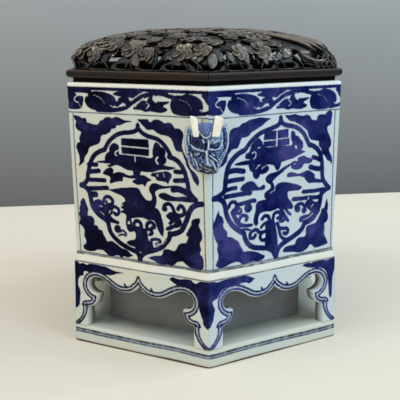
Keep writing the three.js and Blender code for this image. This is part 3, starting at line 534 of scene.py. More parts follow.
# A crane that turns its neck back over waves, under clouds that carry a broken trigram.
TURNING_CRANE = {
    "frame": [
        (2.0, [(1.9, 120.8), (1.9, 119.6), (0.7, 117.4), (-1.5, 116.5), (-5.2, 115.4), (-9.4, 114.3),
            (-12.5, 112.7), (-15.7, 110.3), (-17.8, 107.9), (-19.3, 106.4)]),
        (2.3, [(-19.3, 106.4), (-22.3, 105.3), (-25.4, 103.2), (-27.8, 100.6), (-29.1, 97.4),
            (-29.8, 93.7), (-30.1, 90.1), (-30.7, 87.4), (-33.6, 85.6), (-36.5, 84.5)]),
        (2.0, [(1.9, 120.8), (2.1, 119.4), (3.3, 117.9), (5.6, 116.9), (8.5, 116.3), (11.2, 115.6),
            (13.8, 114.3), (16.4, 112.2), (18.3, 109.5), (19.6, 107.2), (20.4, 105.8)]),
        (2.2, [(20.4, 106.1), (23.8, 104.8), (26.4, 102.7), (28.1, 100.1), (29.1, 96.9), (29.6, 93.2),
            (29.8, 90.1), (30.4, 87.2), (32.7, 84.3), (34.6, 82.4)]),
        (2.3, [(-36.5, 84.7), (-33.6, 84.3), (-31.2, 82.7), (-30, 80.2), (-29.5, 77.6), (-28.4, 74.4),
            (-26.6, 71.5), (-23.8, 68.6), (-20.7, 66.5), (-18.6, 65.2)]),
        (2.3, [(-18.6, 65.2), (-17.8, 62.3), (-15.7, 59.2), (-12.5, 57.2), (-8.3, 56.3), (-4.1, 55.5),
            (-1.2, 53.9), (0.4, 51.8), (1.2, 50.1)]),
        (2.5, [(34.6, 82.3), (32.5, 81.7), (29.8, 79.7), (29.1, 76), (28.1, 72.3), (25.9, 68.6),
            (23, 66.4), (19.1, 65.5)]),
        (2.4, [(19.1, 65.5), (18.5, 63.9), (16.8, 61.8), (12.7, 59.6), (8.5, 57.8), (4.8, 56.1),
            (2.5, 53.9), (1.4, 50.1)]),
    ],
    "fills": [
        [(-4.7, 120.6), (-4.7, 120.7), (-7.8, 121.1), (-10.4, 121.5), (-13.6, 121.1), (-16.7, 120.7),
            (-18.8, 119.6), (-20.9, 119.3), (-22.5, 117.9), (-25.2, 117.5), (-27.5, 116.4),
            (-28.2, 114.3), (-29.9, 110.6), (-31.2, 107.4), (-32, 105.3), (-33.3, 102.7), (-33.1, 99.8),
            (-31.5, 100.2), (-29.6, 102.2), (-29, 104.3), (-28.8, 105.3), (-26.2, 107.6), (-23.6, 107.9),
            (-22.5, 109.5), (-21.6, 111.6), (-20.9, 112.6), (-17.3, 113.2), (-15.7, 114.7),
            (-12.5, 116.3), (-9.4, 117.8), (-7.3, 119.2)],
        [(4.8, 121.6), (4.8, 121.7), (7.5, 121.5), (10.6, 121.9), (12.7, 121.2), (15.9, 120.7),
            (18.5, 121.1), (20.6, 119.9), (21.2, 118.7), (23.3, 118.1), (24.8, 118.2), (25.4, 119.8),
            (26.9, 120.8), (30.1, 120.6), (31.7, 122), (33.8, 122.3), (34.7, 120.6), (34.3, 117.9),
            (34.2, 115.8), (31.7, 114.3), (32.3, 111.6), (33.5, 109.5), (34.4, 107.4), (34.7, 104.8),
            (33.3, 102.7), (34.3, 100.6), (35.7, 97.9), (35.7, 95.2), (35.7, 95.1), (34.6, 96.4),
            (32.7, 97.4), (31.2, 99.5), (29.1, 101.1), (28.8, 103.2), (26.9, 105.3), (26.7, 107.4),
            (23.8, 108.1), (21.2, 109), (19.8, 111.1), (19.1, 113.2), (16.9, 114.9), (14.8, 116.3),
            (12.7, 117.3), (10.6, 118.4), (8, 118.9), (6.2, 120.1)],
        [(-33.8, 78.2), (-33.8, 78.1), (-33.2, 76.3), (-31.6, 74.9), (-30.8, 72.8), (-31.2, 70.7),
            (-29.9, 68.6), (-28.7, 67.1), (-28.6, 64.9), (-26.2, 64.3), (-23.8, 62.7), (-21.9, 61.3),
            (-20.9, 59.2), (-19.4, 57.1), (-18.6, 55.8), (-15.7, 55.7), (-12.5, 54.9), (-9.9, 54),
            (-7.8, 52.8), (-5.8, 51.8), (-6.7, 50.4), (-9.4, 49.7), (-12.5, 50.1), (-15.7, 49.8),
            (-18.8, 49.6), (-20.4, 50.7), (-22.5, 51.5), (-25.7, 51.3), (-28.3, 50.5), (-31.5, 49.8),
            (-34.1, 50.6), (-34.6, 52.3), (-33.6, 53.9), (-33.3, 56.5), (-34.1, 59.2), (-33.8, 61.8),
            (-34.9, 63.9), (-35.7, 66), (-36.3, 68.6), (-36.6, 70.7), (-36.7, 71.8), (-35.9, 73.4),
            (-35.2, 74.9), (-34.6, 76.5)],
        [(33.5, 76.4), (33.5, 76.3), (34.3, 73.9), (34.4, 71.3), (34.1, 69.7), (34.9, 66.5), (33.9, 64.4),
            (32.5, 63.4), (32.8, 60.2), (32.5, 58.1), (33.8, 55.5), (35.2, 52.8), (34.6, 52.2),
            (31.7, 51.7), (28, 51.2), (25.9, 51.9), (24.8, 53.2), (23.3, 53.5), (21.7, 51.7),
            (18.5, 50.4), (15.4, 50.4), (12.2, 51.3), (8.5, 51.7), (5.8, 52.3), (5.8, 52.4), (6.9, 54),
            (10.1, 54.7), (13.3, 54.8), (14.4, 57.1), (16.4, 58.1), (19.1, 57.9), (20.6, 59.2),
            (20.4, 61.8), (21.3, 63.4), (23.8, 64), (26.4, 64.3), (28, 66), (28.8, 67.6), (30.1, 69.7),
            (30.5, 71.3), (32.2, 71.9), (32.8, 73.9)],
        [(-7.5, 114.3), (-7.9, 110.7), (-0.6, 110.5), (-0.6, 114.5)],
        [(0.4, 114.5), (0.5, 110.7), (6.9, 111.1), (6.7, 114.8)],
        [(-7.9, 109.6), (-8, 107.4), (-0.7, 107.2), (-0.7, 109.7)],
        [(0.5, 109.9), (0.5, 107.3), (7.6, 107.2), (7.5, 110.2)],
        [(-18.6, 102.6), (-18.2, 104.5), (-16.3, 105.4), (-15.7, 107.2), (-15.2, 108.8), (-13.3, 110.3),
            (-11.5, 111.7), (-10.1, 110.8), (-8.8, 109.3), (-8.2, 107.3), (-4.1, 106.6), (2.7, 106.9),
            (8, 106.4), (9.8, 107.2), (8.9, 110.3), (8.8, 113.3), (10.6, 113.2), (11.6, 111.2),
            (13, 110.8), (14.4, 109.3), (15.9, 107.9), (16.4, 105.3), (15.2, 103.5), (17.8, 102.9),
            (13.8, 101.4), (10.6, 100.2), (6.9, 99.6), (3, 98.7), (2.7, 97.2), (1.2, 94.9), (-0.4, 95.8),
            (-1.5, 97.7), (-5.2, 98.5), (-8.3, 98.1), (-10.4, 98.9), (-12, 97.4), (-13.2, 96.9),
            (-13.6, 99), (-16.7, 99.4), (-19.9, 99.4), (-24.1, 99.7), (-24.5, 100.3), (-19.9, 101.1),
            (-15.7, 101.4), (-16.7, 102.1)],
        [(-16.5, 99.6), (-14.1, 99), (-13.2, 96.9), (-11.9, 96.8), (-10.4, 97.9), (-8.3, 98.3),
            (-5.2, 97.4), (-4.5, 96.1), (-5.6, 94.7), (-8.3, 93.9), (-9.8, 94.2), (-10.3, 92.7),
            (-12, 91.8), (-13.6, 93.1), (-14.2, 95.3), (-15.7, 96.3), (-16.3, 97.9)],
        [(9.3, 95.8), (10.1, 97.4), (11.7, 98.4), (13.8, 97.9), (13.5, 99.5), (15.4, 100.4),
            (17.5, 100.4), (19.6, 99.4), (22.3, 98.5), (22.6, 97.4), (20.6, 96.5), (17.5, 96.8),
            (16.4, 95.2), (14.3, 94.2), (11.2, 94.4)],
        [(6.9, 91.4), (8, 92.8), (11.2, 92.5), (13.8, 91.6), (16.9, 92), (20.1, 92.8), (22.8, 91.6),
            (24.7, 90.1), (24.7, 88.5), (25.9, 87.9), (29.6, 86.9), (29.6, 85.8), (23.8, 86.3),
            (21.2, 86.4), (19.3, 87.9), (18, 89.5), (14.8, 90.6), (10.6, 90.7), (8, 90.7)],
        [(-21.1, 87.6), (-20, 89.3), (-17.3, 90.6), (-15.1, 90.9), (-12.9, 89.8), (-10.9, 87.6),
            (-9.4, 87.3), (-7.8, 88.3), (-6.5, 87.6), (-7.2, 86.2), (-9.4, 86), (-11.9, 86.2),
            (-15.7, 86.2), (-19.4, 86.5)],
        [(11.2, 98.4), (8.5, 97.3), (5.4, 96.3), (2.2, 94.7), (-0.4, 93.8), (-3.6, 93.5), (-5.7, 92.2),
            (-6.2, 90.7), (-5.2, 89.3), (-3.3, 88.1), (-2.9, 86.5), (-4, 85.5), (-5.8, 84.7),
            (-6.8, 83.4), (-6.3, 81.4), (-5.2, 81.6), (-2.9, 83.2), (-1.2, 84.6), (-0.8, 86.5),
            (-1.4, 88.1), (-2.2, 89.4), (-0.7, 90.8), (1.3, 92.2), (3.9, 93.6), (6.2, 95.2), (10.9, 97.5)],
        [(-5.9, 80.7), (-3.3, 82.7), (-0.4, 84.7), (0.1, 87.1), (2.7, 88.2), (5.9, 88.2), (9.6, 87.2),
            (13.3, 86.3), (16.5, 84.7), (16.5, 84.6), (15.1, 83.5), (11.7, 83.5), (7.7, 83.4),
            (7.7, 80.7), (8.5, 79.2), (9.8, 77.6), (11.3, 75.5), (10.6, 74.1), (8, 74.6), (6.9, 73.6),
            (5.4, 74.6), (3.3, 74.8), (1.7, 75.5), (-0.4, 74.9), (-3.1, 74.6), (-5.7, 74.9), (-8.3, 74.6),
            (-9.8, 73.6), (-10.4, 71.3), (-10.3, 69.2), (-11.6, 68.3), (-12.9, 70.2), (-12.7, 72.8),
            (-11.8, 76), (-11.8, 78.6), (-10.5, 80.2), (-7.8, 80.6)],
        [(-5.7, 68.6), (-3.3, 69.7), (-0.4, 69.4), (0.9, 64.9), (1.6, 61.8), (2.1, 58.1), (1.8, 53.9),
            (-0.4, 54.7), (-3.1, 56), (-5.2, 56.4), (-5.7, 59.2), (-5.3, 63.4), (-5.7, 66.5)],
        [(-24.9, 77.6), (-24.1, 79.2), (-22, 78.9), (-20.2, 77.6), (-20.3, 75.5), (-22, 75.1),
            (-23.2, 75.7), (-23.6, 74.9), (-21.7, 72.1), (-19.9, 70.5), (-17.3, 69.7), (-14.1, 69.1),
            (-14.6, 68.3), (-18.3, 68.4), (-21.2, 68.9), (-23.8, 71.3), (-25.7, 74.4), (-26.7, 77.1)],
        [(19.3, 75.5), (21.2, 77.8), (23.3, 78.1), (24.3, 76.5), (26.4, 75.5), (29.1, 76), (29.1, 70.7),
            (25.9, 67.8), (21.2, 66.8), (16.4, 66.4), (15.9, 68.6), (18.5, 69.7), (21.9, 69.7),
            (23, 71.3), (21.4, 72.6)],
        [(3.3, 71.3), (5.4, 72.3), (7.5, 70.7), (6.9, 68.6), (4.6, 67.6), (2.7, 68.6)],
    ],
    "strokes": [
        (2.3, [(-29.4, 96.6), (-24.6, 97.2), (-19.6, 96.3)]),
        (2.0, [(-29.4, 92.2), (-24.6, 92.5), (-19.9, 92.6)]),
        (1.8, [(-29.4, 88.1), (-26.2, 88.5), (-24, 88.6)]),
        (2.0, [(23.3, 99.4), (25.9, 98.6), (28.5, 97.4)]),
        (2.3, [(21.8, 94.5), (24.6, 93.6), (28.5, 92.9)]),
        (2.0, [(-29.9, 84.8), (-24.6, 85.1), (-19.4, 85.2), (-15.4, 85.2)]),
        (1.7, [(-28.8, 88.1), (-26.2, 88.5), (-24, 88.6)]),
        (1.8, [(-22.6, 80.2), (-17.8, 80.6), (-13.6, 81.2), (-12.5, 80.9)]),
        (1.8, [(17.7, 82.1), (21.2, 81.9), (25.9, 81.8), (30.6, 82.1)]),
        (1.9, [(11.4, 78.9), (15.9, 78.7), (21.2, 78.6), (28, 78.1)]),
        (1.3, [(4.3, 74.7), (5.6, 72.1), (8.5, 68.1)]),
        (1.2, [(6.7, 74.7), (8, 72.8), (9.8, 71.3)]),
        (1.0, [(3.3, 74.9), (3.8, 72.8), (5.4, 70.7)]),
        (1.6, [(-7.8, 71.2), (-6.2, 72.5), (-4.1, 71.9), (-3.2, 69.7), (-2.9, 68.1)]),
        (1.5, [(-1.2, 69.7), (-0.5, 72.7), (1.7, 73.5), (3.4, 72.3), (3.3, 70.6), (1.8, 70.4)]),
        (1.3, [(-8.3, 66.9), (-6.6, 68.5), (-4.4, 69.1)]),
        (1.6, [(-5.7, 64.4), (-9.1, 64.4), (-10.9, 66), (-13.3, 65.8), (-15, 64.4), (-14.6, 62.3),
            (-12.5, 62.3), (-11.7, 63.5)]),
        (1.5, [(-5.7, 64.4), (-8.2, 63.8), (-8.8, 61.8), (-7.3, 60.1), (-4.9, 60.6)]),
        (1.6, [(1.7, 67.6), (2.7, 65.5), (4.8, 64.5), (7.5, 64.3), (8.6, 62.8), (7.5, 61.4), (6, 62.1)]),
        (1.4, [(2.6, 65.7), (3.4, 62.3), (4.8, 59.8), (7.7, 58.5), (10.6, 59.2)]),
        (1.6, [(-28.2, 79.2), (-27, 81.3), (-25.1, 81.9), (-23.5, 80.7), (-23.6, 78.6), (-25.3, 77.5)]),
        (1.5, [(-21.7, 72.2), (-20.7, 73.9), (-18.7, 74.4), (-16.9, 73.1), (-17.5, 71.9)]),
        (1.6, [(13.8, 72.8), (13.2, 74.8), (15.4, 76), (17.6, 75.6), (19.3, 73.9)]),
        (1.2, [(-21.5, 69.4), (-17.8, 69.2), (-14.1, 68.9)]),
        (0.8, [(-19.9, 67.3), (-17.3, 67.2), (-15.2, 66.5)]),
        (4.3, [(-16.5, 77.8), (-16.4, 77.8)]),
        (3.0, [(14.4, 73.3), (14.7, 73.3)]),
        (2.8, [(18.5, 72.2), (18.8, 72.2)]),
    ],
    "reserved": [
        (0.7, [(-14.7, 104.5), (-13.3, 105.2), (-12.4, 104), (-12.9, 102.4), (-14, 101.8)]),
        (1.3, [(11.8, 105.9), (12.2, 105.1)]),
        (0.8, [(-16.7, 107.2), (-15.7, 107.8)]),
        (0.8, [(-11.2, 106.9), (-10.2, 107.2)]),
        (0.7, [(-8.7, 96.3), (-8.2, 97.1), (-6.8, 97.4)]),
        (0.5, [(-12.5, 96.7), (-11.5, 97.4), (-11.2, 98.5)]),
        (0.6, [(11.2, 96.9), (11.9, 97.2)]),
        (0.6, [(-22.3, 76.6), (-21.2, 77.3)]),
        (0.6, [(4.8, 70.1), (5.6, 69.7)]),
        (0.9, [(21.2, 77.8), (21.3, 78.6)]),
        (0.7, [(23.3, 73.6), (24.6, 74.7)]),
        (0.6, [(18.5, 67.3), (21.7, 68.1), (24.6, 70.1)]),
        (0.5, [(-3.6, 83.6), (-1.7, 84.7)]),
    ],
}


# The band under the mouth: a vine that waves between two flowers, with curled leaves above and below it.
SCROLL_FILLS = (
    [(-41.5, 133), (-36, 132.4), (-34, 130.8), (-30.6, 130.4), (-30.8, 127.4), (-32.4, 124.6),
        (-38, 124.2), (-41.5, 126)],
    [(-29.4, 128.6), (-27.6, 131.4), (-24, 133.2), (-18, 133), (-13, 131.6), (-11, 129.2), (-12.4, 126.4),
        (-15, 124.6), (-21, 123.9), (-27, 125.2)],
    [(-12.4, 132.5), (-6.8, 134), (4.4, 133.6), (2.1, 131.9), (-1.2, 130.8), (-3.4, 131.2), (-2.8, 128.6),
        (-4.6, 126), (-6.8, 128.4), (-10.2, 126.2), (-11.4, 127.2), (-9.4, 130.2), (-7.2, 131.2),
        (-10.2, 131.7)],
    [(-0.9, 125.7), (2.1, 128.3), (4.4, 129.7), (7.2, 129.5), (7.7, 130.9), (9.9, 132), (10.7, 129.8),
        (14.4, 129.5), (19.2, 129.6), (15.5, 127.6), (18, 125.9), (14.4, 124.5), (8.8, 125), (6, 124.6),
        (3.2, 125.4)],
    [(20.2, 130), (22.6, 132.6), (26, 132.8), (28.6, 133.6), (33, 132.8), (36.2, 130.8), (37, 127.6),
        (35, 124.8), (29, 123.6), (22, 124.2), (20, 127)],
    [(36.6, 133.4), (41.6, 133.8), (41.6, 128.4), (39.6, 129.2), (37.8, 131.6)],
)
SCROLL_STROKES = (
    (1.2, [(-42, 134.5), (0, 134.7), (42, 134.6)]),
    (1.5, [(-41, 132.6), (-34, 133.3), (-26, 133)]),
    (1.9, [(-22, 124.3), (-12.6, 124.5), (-5.8, 125.9), (-2, 128.3), (2.4, 130.8), (8, 132.7),
        (15.4, 133.2), (22, 131.6)]),
    (1.4, [(33, 124.5), (38, 125), (41.6, 126.2)]),
)
SCROLL_RESERVES = (
    (0.8, [(-27.6, 131), (-31, 131.4), (-35, 130.4), (-35.8, 128.4), (-33.4, 127.4)]),
    (0.6, [(-33, 126.6), (-31.8, 125)]),
    (0.8, [(-13.6, 132.6), (-10.8, 130.8), (-9.8, 129.2)]),
    (0.7, [(-14.4, 126.8), (-11.6, 125.9), (-8.6, 126.6)]),
    (0.9, [(-6, 127.9), (-5.6, 126.9)]),
    (0.7, [(-3.4, 130.8), (-2, 129.7), (2, 132.2), (6, 134)]),
    (0.6, [(0.2, 126.6), (1.6, 128.7), (5, 131.1)]),
    (0.7, [(6.6, 129), (8, 127.6), (6.6, 126.2)]),
    (0.9, [(11, 132.4), (10.4, 130.6), (12.2, 129.2)]),
    (0.8, [(12.8, 132.2), (16.4, 131.7), (19.4, 130.2)]),
    (0.9, [(19.2, 133.6), (22, 133.4)]),
    (0.8, [(35.6, 126.4), (38.6, 126.4), (40.6, 127.6)]),
    (0.5, [(-24, 131.6), (-20, 130.2), (-17.6, 127.6)]),
    (0.4, [(25, 131), (29, 129.6), (31, 127)]),
)


def paint_wall(paint, picture):
    """Everything on one wall: the thin border lines, the framed picture and the scroll band over it."""
    for points in (
        [(-37.2, 121.8), (-37.1, 90), (-36.4, 49.6)],
        [(36.6, 122.2), (36.9, 90), (37.6, 49.4)],
        [(-41, 122.5), (-10, 122.7), (20, 122.9), (41, 122.8)],
        [(-41, 49.5), (0, 49.3), (41, 49.5)],
    ):
        paint.stroke(points, 0.65, layer="line")
    seam = 0.3
    for width, points in picture["frame"]:
        paint.stroke(points, width - seam, layer="wash")
    for width, points in picture["frame"]:
        paint.stroke(points, width)
    for width, points in picture["frame"]:
        paint.stroke(points, seam, reserve=True)
    for outline in picture["fills"]:
        paint.fill(outline, steps=1 if len(outline) == 4 else 3)
    for outline in SCROLL_FILLS:
        paint.fill(outline)
    for width, points in (*picture["strokes"], *SCROLL_STROKES):
        paint.stroke(points, width)
    for width, points in (*picture["reserved"], *SCROLL_RESERVES):
        paint.stroke(points, width + 0.15, reserve=True)


def side_axes(side):
    """The way out of a side, and the way along it to the right as seen from outside."""
    angle = math.radians(60 * side - 120)
    return np.array((math.cos(angle), math.sin(angle), 0)), np.array((-math.sin(angle), math.cos(angle), 0))


def round_corners(share, apothem, radius):
    """Places along and out from a side whose corners are rounded. share runs from -1 to 1 between mitres."""
    flat = (apothem - radius) * TAN_HALF_SIDE
    run = share * (flat + radius * math.pi / 6)
    turn = np.clip(np.abs(run) - flat, 0, None) / np.maximum(radius, 1e-9)
    along = np.sign(run) * (np.minimum(np.abs(run), flat) + radius * np.sin(turn))
    return along, apothem - radius * (1 - np.cos(turn))


def wall_apothem(height):
    """How far out a wall's face stands at a height. The walls widen upwards."""
    rise = (height - SHOULDER_TOP) / (MOUTH_HEIGHT - SHOULDER_TOP)
    return WALL_FOOT_APOTHEM + rise * (MOUTH_APOTHEM - WALL_FOOT_APOTHEM)


def stand_apothem(height):
    """How far out the face of the stand is at a height."""
    return FOOT_APOTHEM + height / SHOULDER_EDGE_TOP * (SHOULDER_APOTHEM - FOOT_APOTHEM)


def arc(apothem, height, radius, turns, corner_round):
    """Rows of a profile round a softened edge. A negative radius turns it inwards."""
    rows = []
    for angle in map(math.radians, turns):
        out, up = radius * math.cos(angle), abs(radius) * math.sin(angle)
        rows.append((apothem + out, height + up, corner_round))
    return rows


def mesh_from(bm, name):
    """The mesh that a bmesh makes. The bmesh is freed."""
    mesh = bpy.data.meshes.new(name)
    bm.to_mesh(mesh)
    bm.free()
    return mesh


def pour(whole, part):
    """Adds one bmesh to another."""
    mesh = mesh_from(part, "part")
    whole.from_mesh(mesh)
    bpy.data.meshes.remove(mesh)


def store_vectors(bm, name, values):
    """Keeps three numbers with each vertex."""
    layer = bm.verts.layers.float_vector.new(name)
    for vert, value in zip(bm.verts, values):
        vert[layer] = value


def close_holes(bm):
    """Fills the open borders and turns every face outwards."""
    bmesh.ops.holes_fill(bm, edges=[e for e in bm.edges if e.is_boundary], sides=0)
    bmesh.ops.recalc_face_normals(bm, faces=bm.faces)


def finish_piece(bm, name, material, body, replaced):
    """Turns a bmesh into a piece that rides on its body in place of a construction node."""
    bm.normal_update()
    mesh = mesh_from(bm, name)
    for polygon in mesh.polygons:
        polygon.use_smooth = True
    mesh.materials.append(material)
    piece = bpy.data.objects.new(name, mesh)
    bpy.context.scene.collection.objects.link(piece)
    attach(piece, body)
    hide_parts(replaced)


def side_grid(side, profile, columns):
    """A grid bent round one side. Each row of the profile is an apothem, a height and a corner radius."""
    bm = bmesh.new()
    bmesh.ops.create_grid(bm, x_segments=columns, y_segments=len(profile) - 1, size=1)
    bm.verts.ensure_lookup_table()
    place = np.array([v.co for v in bm.verts])
    rows = np.rint((place[:, 1] + 1) / 2 * (len(profile) - 1)).astype(int)
    apothem, height, radius = (np.array(column)[rows] for column in zip(*profile))
    along, outward = round_corners(place[:, 0], apothem, radius)
    out_axis, along_axis = side_axes(side)
    points = outward[:, None] * out_axis + along[:, None] * along_axis
    points[:, 2] = height
    for vert, point in zip(bm.verts, points):
        vert.co = point
    return bm, along, height, rows


WALL_ROWS = 196
WALL_COLUMNS = 178
LIP_ROUND = 1.1 * MM
INNER_CORNER = 0.3 * MM


def build_wall(side, material, corner_round, known):
    """A wall slab: the painted outer face, the rounded white lip, and the plain inner face."""
    lip_foot = MOUTH_HEIGHT - LIP_ROUND
    profile = []
    for row in range(WALL_ROWS + 1):
        height = SHOULDER_TOP + row / WALL_ROWS * (lip_foot - SHOULDER_TOP)
        profile.append((wall_apothem(height), height, corner_round))
    inner = MOUTH_APOTHEM - WALL_THICKNESS
    profile += arc(MOUTH_APOTHEM - LIP_ROUND, lip_foot, LIP_ROUND, (30, 60, 90), corner_round)
    profile += arc(inner + LIP_ROUND, lip_foot, -LIP_ROUND, (90, 60, 30, 0), INNER_CORNER)
    profile.append((WALL_FOOT_APOTHEM - WALL_THICKNESS, SHOULDER_TOP, INNER_CORNER))
    bm, along, height, row_of = side_grid(side, profile, WALL_COLUMNS)
    picture = TURNING_CRANE if side % 2 else RISING_CRANE
    paint = known.get(side % 2)
    if not paint:
        paint = known[side % 2] = Brushwork(along / MM, height / MM)
        paint_wall(paint, picture)
        for field in paint.layers.values():
            field[row_of > WALL_ROWS] = FAR
    paint.store(bm)
    ends = [e for e in bm.edges if e.is_boundary]
    bottom = [e for e in ends if all(abs(v.co.z - SHOULDER_TOP) < 1e-6 for v in e.verts)]
    bmesh.ops.bridge_loops(bm, edges=bottom)
    close_holes(bm)
    finish_piece(bm, f"painted_wall_{side}", material, "vessel", f"wall_slab_{side}")


def hexagon_ring(profile, columns=24):
    """A closed ring of one profile round all six sides."""
    whole = bmesh.new()
    for side in SIDES:
        pour(whole, side_grid(side, profile + profile[:1], columns)[0])
    bmesh.ops.remove_doubles(whole, verts=whole.verts, dist=1e-6)
    bmesh.ops.recalc_face_normals(whole, faces=whole.faces)
    return whole


def arch_outline():
    """Half the arch of an apron panel from its foot to its tip, in millimetres over the plinth's top."""
    half, leg, nick, reach, cusp = 32.0, 10.7, 0.9, 6.2, 18.3
    top, dip, dip_height, tip, lobe_width = 27.6, 10.0, 21.8, 26.4, 5.4
    leaf, lobe, radius = half - reach, half - lobe_width, (top - cusp) / 2
    bend = (lobe - dip) * 0.42
    line = [(half, 0.0), (half, 5.0), (half, leg - nick / 2), (half + nick, leg)]
    line += bezier(line[-1], (half - reach * 0.6, leg), (leaf, leg + (cusp - leg) * 0.4), (leaf, cusp))[1:]
    for step in range(11):
        angle = -1.4 + step / 10 * (1.4 + math.pi / 2)
        line.append((lobe + lobe_width * math.cos(angle), cusp + radius + radius * math.sin(angle)))
    line += bezier(line[-1], (lobe - bend, top), (dip + bend, dip_height), (dip, dip_height))[1:]
    steep = (dip * 0.2, dip_height + (tip - dip_height) * 0.4)
    return line + bezier((dip, dip_height), (dip * 0.5, dip_height), steep, (0, tip))[1:]


# The corner washes of an apron panel under each picture.
CORNER_WASHES = (
    (
        [(-41, 44.4), (-37.5, 42.9), (-35.2, 43.6), (-32.5, 42.9), (-29.9, 44.1), (-26.7, 44.4),
            (-24.1, 43.6), (-20.9, 43.6), (-18.3, 42.9), (-14.6, 41.9), (-10.2, 41.8), (-10.2, 41.7),
            (-13.6, 41), (-16.7, 39.8), (-20.9, 39.6), (-24.6, 40.3), (-27.8, 40), (-30.7, 39.6),
            (-34.1, 39.6), (-34.9, 38.6), (-35.2, 37), (-37, 36.5), (-38.3, 34.7), (-38.6, 31.1),
            (-37.3, 28.9), (-37.2, 26.8), (-37.5, 24.2), (-38.1, 20.4), (-41, 20.4)],
        [(18.5, 42.6), (18.5, 42.5), (20.2, 43.8), (22.7, 43.3), (25.9, 43.4), (28.5, 44.2), (30.7, 43.9),
            (31.8, 42.7), (33.8, 42.3), (35.9, 43.8), (38, 44.4), (41, 44.4), (41, 22), (38, 22.1),
            (37.4, 24.7), (36.5, 26.8), (35.5, 30), (34.9, 34.7), (33.8, 36.2), (32.2, 37.9),
            (30.1, 39.2), (26.4, 39.9), (23.3, 40.2), (21.2, 41)],
    ),
    (
        [(-41, 44.6), (-38.8, 44.4), (-35.7, 43.2), (-31.5, 43.8), (-26.2, 44.4), (-22, 44.2),
            (-19.4, 44.2), (-16.7, 43.2), (-13.2, 41.5), (-13.2, 41.4), (-15.7, 39.9), (-17, 39.9),
            (-18.1, 40.5), (-20.9, 40.7), (-24.6, 40), (-28.8, 40.2), (-32, 39.4), (-34.1, 38),
            (-35.7, 35.4), (-37.8, 34.7), (-38.7, 33.2), (-37.2, 30), (-37.7, 27.4), (-38.6, 23.7),
            (-41, 22.3)],
        [(18.5, 43), (18.6, 43.1), (21.3, 44.3), (23.8, 43.4), (26.4, 44.2), (29.1, 45), (31.8, 44.8),
            (33.4, 43.6), (36, 43.5), (41, 45), (41, 40), (38.9, 34.2), (38.4, 24.7), (37.5, 22.5),
            (36.7, 24.7), (36.2, 30), (35.5, 34.7), (34.3, 37.8), (31.7, 39.8), (28.5, 40.6),
            (24.3, 41.2), (21.2, 42)],
    ),
)
# The tip of the arch between its two outlines, and the sweep out to the foot on the right.
TIP_STROKES = (
    (0.55, [(-3.3, 34.5), (-1.4, 36.3), (-0.2, 38), (-0.2, 38), (0.9, 36.3), (3.3, 34.5)]),
    (0.55, [(-4.2, 36.2), (-2.5, 37.5), (-1.4, 39), (-0.8, 40.4), (-0.2, 41.1), (-0.2, 41.1), (0.5, 40.3),
        (1, 38.9), (2.2, 37.4), (4.2, 35.8)]),
    (0.75, [(-8, 35), (-8.5, 35.6), (-8.7, 36)]),
    (0.75, [(8.2, 34.8), (7.7, 35.4), (7.5, 35.9)]),
)
FOOT_STROKES = (
    ("ink", 0.6, [(33.5, 21.5), (33, 20.2), (33.2, 17.4), (34.6, 14.2), (36.8, 11.4), (39.2, 9.4),
        (41.4, 8)]),
    ("ink", 0.5, [(35.3, 21.9), (35, 19.8), (35.2, 17), (36.2, 14.4), (38, 12.2), (39.8, 10.8),
        (41.4, 9.8)]),
    ("wash", 0.5, [(34.3, 20.6), (34.2, 17), (35.6, 14), (37.6, 11.7), (41.4, 8.9)]),
    ("wash", 1.7, [(37.8, 10.9), (39.6, 9.8), (41.2, 9)]),
)


def paint_apron(paint, arch_distance, washes):
    """The arch outlined twice with a pale wash between, swept out to the foot, and the corner washes."""
    across, height = np.abs(paint.points[:, 0]), paint.points[:, 1]
    swept = (height < PLINTH_TOP / MM + 10.9) | ((across < 3.6) & (height > 33))
    lines = np.minimum(np.abs(arch_distance - 1.2) - 0.28, np.abs(arch_distance - 3.0) - 0.28)
    paint.layers["ink"] = np.where(swept, FAR, lines)
    paint.layers["wash"] = np.where(swept, FAR, np.maximum(np.abs(arch_distance - 1.9) - 0.6, 0.02))
    for width, points in TIP_STROKES:
        paint.stroke(points, width)
    for hand in (-1, 1):
        for layer, width, points in FOOT_STROKES:
            paint.stroke([(hand * u, z) for u, z in points], width, layer=layer)
    for outline in washes:
        paint.fill(outline)


APRON_STEP = 0.55
HALF_APRON = 40.6
APRON_FOOT = 32.4
APRON_MITRE = 34 * MM
EDGE_SOFTNESS = 0.9


def apron_points(arch):
    """The outline of an apron panel that follows the arch, and points spread over the panel inside it."""
    low, high = PLINTH_TOP / MM, STAND_TOP / MM
    dense = []
    for a, b in zip(arch[:-1], arch[1:]):
        count = max(1, round(np.linalg.norm(b - a) / APRON_STEP))
        dense += [a + (b - a) * i / count for i in range(count)]
    dense.append(arch[-1])
    columns = np.linspace(-HALF_APRON, HALF_APRON, round(2 * HALF_APRON / APRON_STEP) + 1)
    rows = np.linspace(low, high, round((high - low) / APRON_STEP) + 1)
    outline = [tuple(p) for p in dense]
    outline += [(u, low) for u in columns[columns < -APRON_FOOT][::-1]]
    outline += [(-HALF_APRON, z) for z in rows[1:-1]]
    outline += [(u, high) for u in columns]
    outline += [(HALF_APRON, z) for z in rows[1:-1][::-1]]
    outline += [(u, low) for u in columns[columns > APRON_FOOT][::-1]]
    inner = np.column_stack([field.ravel() for field in np.meshgrid(columns[1:-1], rows[1:-1])])
    clear = polyline_distance(inner, arch) > APRON_STEP * 0.55
    return outline, inner[clear & ~inside_outline(inner, np.vstack((arch, arch[:1])))]


